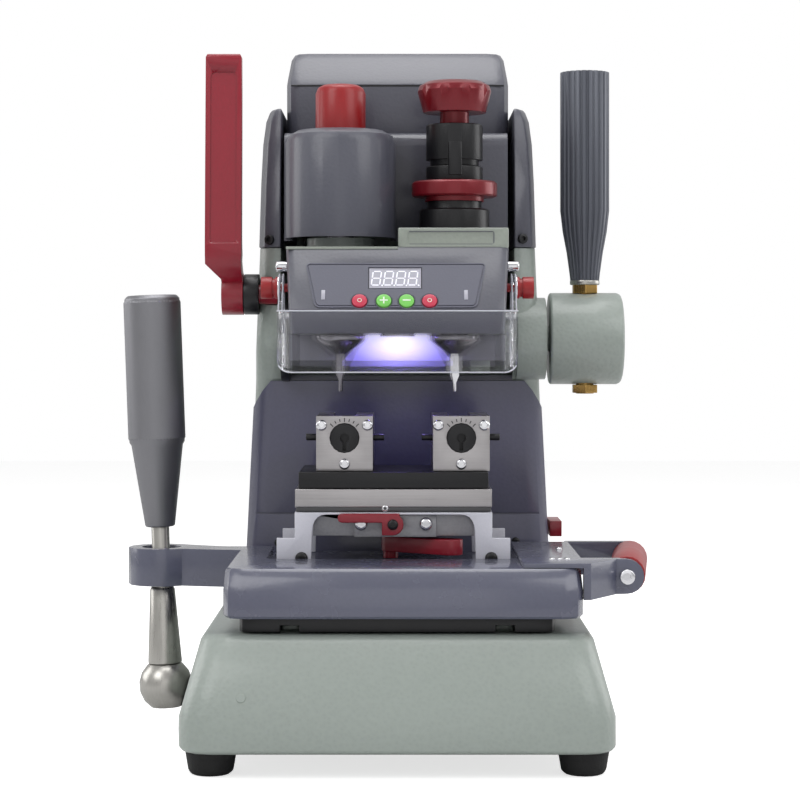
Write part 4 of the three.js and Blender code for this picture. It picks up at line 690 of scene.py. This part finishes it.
def buildLamp():
    # painted pool of lamp light, laid on the apron as a glowing trapezoid
    panel = block(paintedPoolPanel["width"], paintedPoolPanel["height"], paintedPoolPanel["thickness"], (0, 0, paintedPoolPanel["out"]))
    pick(panel, "FACE", lambda face: face.normal.y > 0.9)
    bpy.ops.transform.resize(value=(paintedPoolPanel["topShare"], 1, 1))
    leave()
    bevel(panel, 0.3, 2)
    done(panel, "lampPanel", "head", "panelGlow",
         facing(at(0, apron["front"], paintedPoolPanel["z"]), (0, -1, 0)))
    cover = block(apron["width"], apron["height"], apron["thickness"], (0, 0, apron["out"]))
    bevel(cover, 0.15, 2)
    done(cover, "apronCover", "head", "apronPaint",
         facing(at(0, apron["front"], apron["z"]), (0, -1, 0)))
    ring = rod(workLamp["ring"], workLamp["ringHeight"], 40)
    pick(ring, "FACE", lambda face: face.normal.z > 0.9)
    inset(workLamp["rim"], -workLamp["hollow"])
    leave()
    bevel(ring, 0.3, 2)
    done(ring, "lampRing", "head", "darkChrome",
         facing(at(0, workLamp["y"], workLamp["ringZ"]), (0, 0, -1), (0, 1, 0)))
    lens = bevel(rod(workLamp["lens"], workLamp["lensHeight"], 40, workLamp["lensOut"]), 0.4, 3)
    done(lens, "lampLens", "head", "lampGlow",
         facing(at(0, workLamp["y"], workLamp["lensZ"]), (0, 0, -1), (0, 1, 0)))


# pale tubes along the guard's sharp edges paint the highlights on the acrylic's rims
def buildShieldEdgeHighlights():
    joinedCopy("shield", 2)
    bpy.ops.mesh.select_mode(type="EDGE")
    bpy.ops.mesh.select_all(action="DESELECT")
    bpy.ops.mesh.edges_select_sharp(sharpness=radians(50))
    bpy.ops.mesh.select_all(action="INVERT")
    bpy.ops.mesh.delete(type="EDGE_FACE")
    leave()
    bpy.ops.object.convert(target="CURVE")
    outline = bpy.context.object
    outline.data.bevel_depth = 0.42 * mm
    outline.data.bevel_resolution = 2
    bpy.ops.object.convert(target="MESH")
    done(bpy.context.object, "shieldEdges", "shield", "acrylicEdge")


# the console's side bolts with their washers, its small studs, and the washers under the guard's knobs
sideBolt = {"y": -12, "heights": (283.0, 254.5), "radius": 3.2, "length": 9.0, "washer": 4.6}
sideStud = {"y": -4, "heights": (290.0, 247.5), "radius": 2.2}
knobWasher = {"radius": 7.3, "thickness": 1.1}


def buildHeadTrim():
    bolts, studs, washers = [], [], []
    for side in (-1, 1):
        for z in sideBolt["heights"]:
            where, _ = surface("console", at(side * 200, sideBolt["y"], z), (-side, 0, 0))
            bolt = bevel(rod(sideBolt["radius"], sideBolt["length"], 32, -1), 0.8, 3)
            washer = bevel(rod(sideBolt["washer"], 1.0, 36, -0.4), 0.3, 2)
            for turned in (bolt, washer):
                turned.data.transform(facing(where, (side, 0, 0)))
                bolts.append(turned)
        for z in sideStud["heights"]:
            where, _ = surface("console", at(side * 200, sideStud["y"], z), (-side, 0, 0))
            studs.append((where, (side, 0, 0), sideStud["radius"]))
    done(merge(bolts), "consoleBolts", "head", "chrome")
    screws("consoleStuds", "head", "blackMetal", studs)
    for side in (-1, 1):
        low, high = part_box("shield_knob_left" if side < 0 else "shield_knob_right")
        ring = bevel(rod(knobWasher["radius"], knobWasher["thickness"], 36), 0.3, 2)
        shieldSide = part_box("shield")[0 if side < 0 else 1].x
        point = Vector((shieldSide, (low.y + high.y) / 2, (low.z + high.z) / 2))
        ring.data.transform(facing(point, (side, 0, 0)))
        washers.append(ring)
    done(merge(washers), "knobWashers", "shield", "chrome")


buildLabel()
buildDisplay()
buildButtons()
buildNameTab()
buildLamp()
buildShieldEdgeHighlights()
buildHeadTrim()
print("head dressed")

# grips: knurled left, fluted right
leftGrip = {"ringX": -145, "ringZ": 101.25, "y": 32, "ballZ": 28, "lean": radians(2.1), "slope": 0.036668,
            "foot": 150.5, "length": 85.0, "radius": 17.05, "rise": 0.45, "sides": 108, "rows": 84}
rodNut = {"radius": 8.6, "height": 8.0, "sunk": 0.4, "collar": 7.4, "collarHeight": 2.2}
gripFoot = {"radius": 9.2, "height": 3.0, "drop": 2.6}
rightGrip = {"flutes": 24, "perFlute": 6, "depth": 0.95, "straight": 86.0, "crown": 1.6}


def buildKnurl():
    sleeve = rod(leftGrip["radius"], leftGrip["length"], leftGrip["sides"], 0)
    pick(sleeve, "EDGE", lambda a, b: abs(a.z - b.z) > 0.01)
    bpy.ops.mesh.subdivide(number_cuts=leftGrip["rows"] - 1)
    leave()
    step = leftGrip["length"] * mm / leftGrip["rows"]
    wedge = 2 * pi / leftGrip["sides"]
    pick(sleeve, "VERT", lambda co: (round(co.z / step) + round(atan2(co.y, co.x) / wedge)) % 2 == 0
         and step / 2 < co.z < leftGrip["length"] * mm - step / 2)
    grow = 1 + leftGrip["rise"] / leftGrip["radius"]
    bpy.ops.transform.resize(value=(grow, grow, 1), center_override=(0, 0, 0))
    leave()
    ballX = leftGrip["ringX"] + (leftGrip["ringZ"] - leftGrip["ballZ"]) * leftGrip["slope"]
    place = Matrix.Translation(at(ballX, leftGrip["y"], leftGrip["ballZ"])) @ Matrix.Rotation(
        -leftGrip["lean"], 4, "Y") @ Matrix.Translation((0, 0, leftGrip["foot"] * mm))
    done(sleeve, "knurledSleeve", "hand_lever", "gripAluminium", place, 12)


def buildFlutedGrip():
    low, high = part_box("head_lever_grip")
    radius = (high.x - low.x) / 2 / mm
    middle = (low + high) / 2
    sides = rightGrip["flutes"] * rightGrip["perFlute"]
    length = (high.z - low.z) / mm
    grip = rod(radius, rightGrip["straight"], sides, length - rightGrip["straight"])
    wedge = 2 * pi / sides
    pick(grip, "VERT", lambda co: round(atan2(co.y, co.x) / wedge) % rightGrip["perFlute"] in (0, 1))
    shrink = 1 - rightGrip["depth"] / radius
    bpy.ops.transform.resize(value=(shrink, shrink, 1), center_override=(0, 0, 0))
    leave()
    cone = length - rightGrip["straight"]
    for factor, drop in ((0.9, 0.3), (0.82, 0.3), (0.84, 0.3), (0.95, 0.1)):
        pick(grip, "FACE", lambda face: face.normal.z < -0.9)
        pull(0, 0, -cone * drop)
        bpy.ops.transform.resize(value=(factor, factor, 1))
        leave()
    pick(grip, "FACE", lambda face: face.normal.z > 0.9)
    inset(rightGrip["crown"])
    pull(0, 0, 0.01)
    leave()
    bevel(grip, 0.35, 2, 50)
    done(grip, "flutedGrip", "head_lever", "gripAnodised",
         Matrix.Translation((middle.x, middle.y, low.z)), 40)
    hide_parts("head_lever_grip")


def buildRodFittings():
    low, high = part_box("head_lever_rod")
    x, y = (low.x + high.x) / 2, (low.y + high.y) / 2
    _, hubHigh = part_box("head_lever_hub")
    nut = bevel(rod(rodNut["radius"], rodNut["height"], 6), 0.6, 3)
    collar = bevel(rod(rodNut["collar"], rodNut["collarHeight"], 32, rodNut["height"]), 0.5, 3)
    done(merge([nut, collar]), "gripNut", "head_lever", "brass",
         Matrix.Translation((x, y, hubHigh.z - rodNut["sunk"] * mm)))
    ferrule = bevel(rod(gripFoot["radius"], gripFoot["height"], 40), 0.7, 3)
    gripLow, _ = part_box("head_lever_grip")
    done(ferrule, "gripFerrule", "head_lever", "steelUpright",
         Matrix.Translation((x, y, gripLow.z - gripFoot["drop"] * mm)))


buildKnurl()
buildFlutedGrip()
buildRodFittings()
print("grips made")

# vices
vice = {"centres": {"left": -30.95, "right": 37.35}, "front": -34.0, "discRadius": 8.4, "discZ": 182.1,
        "screwTop": (13.4, 189.6), "screwFoot": 166.9, "screwRadius": 3.3, "pinZ": 182.0, "pinReach": 6.5,
        "pinX": 16.6, "pinY": -19}
clampDisc = {"thickness": 8.9, "sunk": 8.6, "socket": 2.7, "slotWidth": 2.2, "slotLength": 7.5}
scaleMarks = {"count": 7, "step": 15, "radius": 10.6, "width": 0.55, "long": 2.4, "short": 1.7,
              "thickness": 0.16}
jawTooth = {"count": 14, "pitch": 3.6, "first": 4.5, "out": 0.1, "drop": 9.2, "size": (0.5, 1.6, 16.0)}


def buildVice(side):
    middle = vice["centres"][side]

    def onFront(out=0.0):
        return facing(at(middle, vice["front"] - out, vice["discZ"]), (0, -1, 0))

    x, z = vice["screwTop"]
    spots = [(at(middle + dx, vice["front"], dz), (0, -1, 0), vice["screwRadius"])
             for dx, dz in ((-x, z), (x, z), (0, vice["screwFoot"]))]
    screws(f"viceScrews-{side}", "table", "chrome", spots)

    disc = rod(vice["discRadius"], clampDisc["thickness"], 48, -clampDisc["sunk"])
    bevel(disc, 0.35, 2)
    socket = rod(clampDisc["socket"], 8, 24, -5)
    slot = block(clampDisc["slotWidth"], clampDisc["slotLength"], 8, (0, -3.6, -1))
    cutOut(disc, socket)
    cutOut(disc, slot)
    done(disc, f"clampDisc-{side}", f"clamp_{side}", "blackMetal", onFront())
    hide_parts(f"clamp_screw_{side}")

    ticks = []
    for i in range(scaleMarks["count"]):
        turn = radians((i - scaleMarks["count"] // 2) * scaleMarks["step"])
        length = scaleMarks["long"] if i % 3 == 0 else scaleMarks["short"]
        tick = block(scaleMarks["width"], length, scaleMarks["thickness"])
        spin = Matrix.Rotation(-turn, 4, "Z")
        tick.data.transform(onFront(0.02) @ spin @ Matrix.Translation((0, scaleMarks["radius"] * mm, 0)))
        ticks.append(tick)
    done(merge(ticks), f"viceScale-{side}", "table", "blackMetal")

    for way, body in ((-1, f"jaw_{side}"), (1, "table")):
        pin = rod(2.0, vice["pinReach"] + 1.5, 20, -1.5)
        bevel(pin, 0.35, 2)
        done(pin, f"vicePin-{side}-{'a' if way < 0 else 'b'}", body, "blackMetal",
             facing(at(middle + way * vice["pinX"], vice["pinY"], vice["pinZ"]), (way, 0, 0)))

    low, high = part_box(f"vice_jaw_{side}")
    teeth = []
    for i in range(jawTooth["count"]):
        tooth = bevel(block(*jawTooth["size"]), 0.2, 1)
        along = (jawTooth["first"] + i * jawTooth["pitch"]) * mm
        tooth.data.transform(Matrix.Translation(
            (high.x + jawTooth["out"] * mm, low.y + along, high.z - jawTooth["drop"] * mm)))
        teeth.append(tooth)
    done(merge(teeth), f"jawTeeth-{side}", f"jaw_{side}", "steel")


for side in ("left", "right"):
    buildVice(side)
print("vices made")

# table, bridge and levers
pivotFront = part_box("pivot_block")[0]
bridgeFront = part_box("bridge")[0]
bedLow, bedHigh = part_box("vice_bed")


# radius, height, and the places from left to right
frontRows = {"bridge": (3.7, 112.4, (-55.8, 54.6)), "pivot": (3.9, 132.1, (-21.2, 16.6)),
             "stop": (2.2, 141.4, (-7.2,))}
tableTrim = {"stopSunk": 1.1, "stripEnds": 1.2, "stripHeight": 2.7, "stripThickness": 0.5, "stripIn": 1.0,
             "stripUp": 1.45, "bracketTop": 115.3, "rollerZ": 105.4, "rollerRadius": 4.3}
bracketSpots = ((87.4, -76, 1.7), (91.7, -76, 1.7), (95.9, -76, 1.7), (95.6, -14, 1.9))
bedLock = {"x": -2.7, "z": 132.3, "radius": 3.1}
sideLock = {"y": 100, "z": 120.5, "radius": 3.4}
headLock = {"y": 30, "z": 267.4, "radius": 5.0, "sunk": 3.6}


def frontRow(kind, y):
    radius, z, places = frontRows[kind]
    return [(at(x, y, z), (0, -1, 0), radius) for x in places]


def withX(x, point):
    return Vector((x, point.y, point.z))


def buildTableTrim():
    front = (bridgeFront.y - home.y) / mm
    blockFront = (pivotFront.y - home.y) / mm
    screws("bridgeScrews", "table", "blackMetal", frontRow("bridge", front))
    screws("pivotScrews", "table", "chrome", frontRow("pivot", blockFront))
    screws("stopPin", "table", "chrome", frontRow("stop", front + tableTrim["stopSunk"]))
    # a dark metal strip on the bed's lower rebate paints the shade that falls there
    thickness = tableTrim["stripThickness"]
    strip = block((bedHigh.x - bedLow.x) / mm - tableTrim["stripEnds"], tableTrim["stripHeight"], thickness,
                  (0, 0, thickness / 2))
    bevel(strip, 0.12, 2)
    point = Vector(((bedLow.x + bedHigh.x) / 2, bedLow.y + tableTrim["stripIn"] * mm,
                    bedLow.z + tableTrim["stripUp"] * mm))
    done(strip, "bedStrip", "table", "darkStrip", facing(point, (0, -1, 0)))
    screws("bracketScrews", "table", "chrome",
           [(at(x, y, tableTrim["bracketTop"]), (0, 0, 1), radius) for x, y, radius in bracketSpots])
    screws("rollerScrew", "table", "chrome",
           [(at(x, y, tableTrim["rollerZ"]), (0, way, 0), tableTrim["rollerRadius"])
            for x, y, way in ((130.1, -74.0, -1), (143.3, 41.0, 1))], screwModel)
    low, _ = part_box("bed_lock_lever")
    spot = at(bedLock["x"], 0, bedLock["z"])
    screws("bedLockScrew", "bed_lock", "blackMetal",
           [(Vector((spot.x, low.y, spot.z)), (0, -1, 0), bedLock["radius"])])
    _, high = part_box("side_lock_lever")
    screws("sideLockScrew", "side_lock", "blackMetal",
           [(withX(high.x, at(0, sideLock["y"], sideLock["z"])), (1, 0, 0), sideLock["radius"])])
    where, _ = surface("head_lock_lever", at(-200, headLock["y"], headLock["z"]), (1, 0, 0))
    screws("headLockScrew", "head_lock", "blackMetal",
           [(where + Vector((headLock["sunk"] * mm, 0, 0)), (-1, 0, 0), headLock["radius"])], screwModel)


# x, z and radius of each screw
hoodSpots = ((-78.2, 300.8, 3.0), (76.2, 301.4, 3.0))
splashSpots = ((-74.5, 112.8, 2.6), (73.8, 113.5, 2.6))
flangeRing = {"y": 50, "z": 240.3, "radius": 26.8, "thickness": 5.0, "bore": 13, "sunk": 0.6}
lockRing = {"wallY": 38, "z": 277, "radius": 12.4, "bore": 6.8, "clearance": 0.4}
throat = {"wallZ": 215.2, "z": 215.9, "width": 143, "height": 3.3, "depth": 2.6}


def buildColumnTrim():
    frontScrews("hoodScrews", "column_hood", hoodSpots, "blackMetal", screwModel)
    frontScrews("splashScrews", "splash_panel", splashSpots, "blackMetal")
    axis = at(200, flangeRing["y"], flangeRing["z"])
    side, _ = surface("column_casting", axis, (-1, 0, 0))
    flange = bevel(rod(flangeRing["radius"], flangeRing["thickness"], 64), 0.5, 2)
    cutOut(flange, rod(flangeRing["bore"], 20, 32, -5))
    done(flange, "hubFlange", "frame", "blackMetal",
         facing(withX(side.x - flangeRing["sunk"] * mm, axis), (1, 0, 0)))
    left, _ = surface("column_casting", at(-200, lockRing["wallY"], lockRing["z"]), (1, 0, 0))
    boss, _ = surface("head_lock_lever", at(0, headLock["y"], lockRing["z"]), (-1, 0, 0))
    spacer = bevel(rod(lockRing["radius"], (left.x - boss.x) / mm - lockRing["clearance"], 48), 0.5, 2)
    cutOut(spacer, rod(lockRing["bore"], 40, 32, -10))
    done(spacer, "lockSpacer", "frame", "blackMetal",
         facing(withX(left.x, at(0, headLock["y"], headLock["z"])), (-1, 0, 0)))
    lip, _ = surface("column_casting", at(0, -200, throat["wallZ"]), (0, 1, 0))
    liner = bevel(block(throat["width"], throat["height"], throat["depth"]), 0.2, 2)
    done(liner, "throatLip", "frame", "throatPaint",
         facing(Vector((home.x, lip.y, at(0, 0, throat["z"]).z)), (0, -1, 0)))


armRecess = {"x": -105.3, "z": 350, "width": 16.0, "height": 104, "depth": 2.0, "corner": 3.0}
plugSize = {"x": -85.2, "z": 44.3, "radius": 2.6, "height": 0.9, "sunk": 0.4}
seamSize = {"z": 397.2, "width": 132, "height": 1.0, "depth": 0.5}
louvre = {"width": 84.0, "height": 5.0, "reach": 2.2, "count": 9, "pitch": 9.0, "top": 22}
rearScrew = {"inset": 6, "radius": 3.0}
inletPin = {"places": ((-5, -2.4), (5, -2.4), (0, 2.4)), "size": (1.6, 4.0, 6.0), "sunk": 6.5}
ventRib = {"count": 7, "width": 78, "taper": 2, "height": 2.2, "depth": 1.2, "first": 14, "pitch": 5.6}


def buildArmRecess():
    arm = bpy.data.objects["headLockLeverShell"]
    where, normal = surface("head_lock_lever", at(armRecess["x"], -200, armRecess["z"]), (0, 1, 0))
    room = block(armRecess["width"], armRecess["height"], armRecess["depth"])
    pick(room, "EDGE", lambda a, b: abs(a.z - b.z) > 0.001)
    bpy.ops.mesh.bevel(offset=armRecess["corner"] * mm, segments=5)
    leave()
    room.data.transform(facing(where, normal))
    cutOut(arm, room)
    smooth(arm)


def buildBasePlug():
    where, normal = surface("base_casting", at(plugSize["x"], -200, plugSize["z"]), (0, 1, 0))
    plug = bevel(rod(plugSize["radius"], plugSize["height"], 32, -plugSize["sunk"]), 0.35, 3)
    done(plug, "basePlug", "frame", "palePaint", facing(where, normal))


def buildMotorSeam():
    low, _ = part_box("motor_cover")
    seam = bevel(block(seamSize["width"], seamSize["height"], seamSize["depth"]), 0.15, 2)
    done(seam, "motorSeam", "head", "blackMetal",
         facing(Vector((home.x, low.y, at(0, 0, seamSize["z"]).z)), (0, -1, 0)))


def buildRear():
    low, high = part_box("rear_cover")
    middleX = (low.x + high.x) / 2
    slat = block(louvre["width"], louvre["height"], 0.8, (0, 0, 0.2))
    pick(slat, "VERT", lambda co: co.y < 0)
    bpy.ops.transform.translate(value=(0, 0, louvre["reach"] * mm))
    leave()
    bevel(slat, 0.3, 2)
    slats = []
    for i in range(louvre["count"]):
        z = high.z - louvre["top"] * mm - i * louvre["pitch"] * mm
        slats.append(copyOf(slat, facing(Vector((middleX, high.y, z)), (0, 1, 0))))
    bpy.data.objects.remove(slat)
    done(merge(slats), "rearLouvres", "frame", "blackMetal")
    edge = rearScrew["inset"] * mm
    screws("rearScrews", "frame", "chrome", [
        (Vector((x, high.y, z)), (0, 1, 0), rearScrew["radius"]) for x in (low.x + edge, high.x - edge)
        for z in (low.z + edge, (low.z + high.z) / 2, high.z - edge)])
    low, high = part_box("power_inlet")
    pins = []
    for x, z in inletPin["places"]:
        pin = bevel(block(*inletPin["size"]), 0.3, 2)
        pin.data.transform(facing(Vector(((low.x + high.x) / 2 + x * mm, high.y - inletPin["sunk"] * mm,
                                          (low.z + high.z) / 2 + z * mm)), (0, 1, 0)))
        pins.append(pin)
    done(merge(pins), "inletPins", "frame", "chrome")
    low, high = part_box("motor_cover")
    slots = []
    for i in range(ventRib["count"]):
        fromMiddle = abs(i - ventRib["count"] // 2)
        rib = block(ventRib["width"] - fromMiddle * ventRib["taper"], ventRib["height"], ventRib["depth"])
        bevel(rib, 0.5, 2)
        z = low.z + ventRib["first"] * mm + i * ventRib["pitch"] * mm
        point, _ = surface("motor_cover", Vector((home.x, 0.4, z)), (0, -1, 0))
        rib.data.transform(facing(point, (0, 1, 0)))
        slots.append(rib)
    done(merge(slots), "motorVentRibs", "head", "blackMetal")


buildTableTrim()
buildColumnTrim()
buildArmRecess()
buildBasePlug()
buildMotorSeam()
buildRear()
print("trim made")

for spare in (screwModel, domeModel):
    bpy.data.objects.remove(spare)

# floor, light, camera
def studioMaterial(name, colour, glow):
    made, tree, shader = newMaterial(name)
    place = node(tree, "ShaderNodeTexCoord").outputs["Object"]
    noise = node(tree, "ShaderNodeTexNoise", {"Vector": place, "Scale": 3.0}).outputs[0]
    tone = math(tree, "MULTIPLY_ADD", noise, 0.02, 0.98)
    shade = node(tree, "ShaderNodeVectorMath", {0: colour, "Scale": tone}, operation="SCALE")
    tree.links.new(shade.outputs[0], shader.inputs["Base Color"])
    shader.inputs["Roughness"].default_value = 0.9
    rays = node(tree, "ShaderNodeLightPath")
    seen = math(tree, "MAXIMUM", rays.outputs["Is Camera Ray"], rays.outputs["Is Transmission Ray"])
    shader.inputs["Emission Color"].default_value = (1, 1, 1, 1)
    tree.links.new(math(tree, "MULTIPLY", seen, glow), shader.inputs["Emission Strength"])
    return made


studio = {"floor": 6.0, "glow": 0.7, "world": 0.22}
lamps = [
    # name, place, aim, size, watts
    ("keyLight", (-0.95, -1.0, 1.25), (0, 0, 0.2), 0.9, 7.5),
    ("fillLight", (1.05, -0.9, 1.1), (0, 0, 0.2), 0.9, 6.0),
    ("topLight", (0.0, 0.0, 1.5), (0, 0, 0.2), 1.0, 12.0),
    ("frontLight", (0.0, -1.9, 0.55), (0, 0, 0.2), 1.2, 2.2),
    ("leftRim", (-1.1, 0.35, 0.5), (0, 0, 0.22), 0.7, 3.4),
    ("rightRim", (1.1, 0.35, 0.5), (0, 0, 0.22), 0.7, 3.4),
]


def buildStudio():
    deselect()
    bpy.ops.mesh.primitive_plane_add(size=studio["floor"], location=(0, 0, -0.0001))
    floor = bpy.context.object
    floor.name = "studioFloor"
    floor.data.materials.append(studioMaterial("floorPaper", (0.9, 0.9, 0.9), studio["glow"]))
    world = bpy.data.worlds.new("studioWorld")
    bpy.context.scene.world = world
    world.use_nodes = True
    tree = world.node_tree
    background = tree.nodes["Background"]
    rays = node(tree, "ShaderNodeLightPath")
    seen = math(tree, "MAXIMUM", rays.outputs["Is Camera Ray"], rays.outputs["Is Transmission Ray"])
    seen = math(tree, "MAXIMUM", seen, math(tree, "MULTIPLY", rays.outputs["Is Glossy Ray"], 0.55))
    level = math(tree, "MULTIPLY_ADD", seen, 1.0 - studio["world"], studio["world"])
    background.inputs["Color"].default_value = (1, 1, 1, 1)
    tree.links.new(level, background.inputs["Strength"])
    for name, place, aim, size, watts in lamps:
        bpy.ops.object.light_add(type="AREA", location=place)
        lamp = bpy.context.object
        lamp.name = name
        lamp.data.size = size
        lamp.data.energy = watts
        lamp.rotation_euler = (Vector(aim) - Vector(place)).to_track_quat("-Z", "Y").to_euler()


view = {"place": (1.5, -1320, 239.4), "lens": 99, "sensor": 36, "shift": -0.075}


def buildCamera():
    deselect()
    bpy.ops.object.camera_add(location=at(*view["place"]), rotation=(pi / 2, 0, 0))
    camera = bpy.context.object
    camera.name = "frontCamera"
    camera.data.lens = view["lens"]
    camera.data.sensor_width = view["sensor"]
    camera.data.shift_y = view["shift"]
    camera.data.clip_end = 30
    bpy.context.scene.camera = camera


buildStudio()
buildCamera()
bpy.context.scene.view_settings.view_transform = "Standard"
print("studio made")
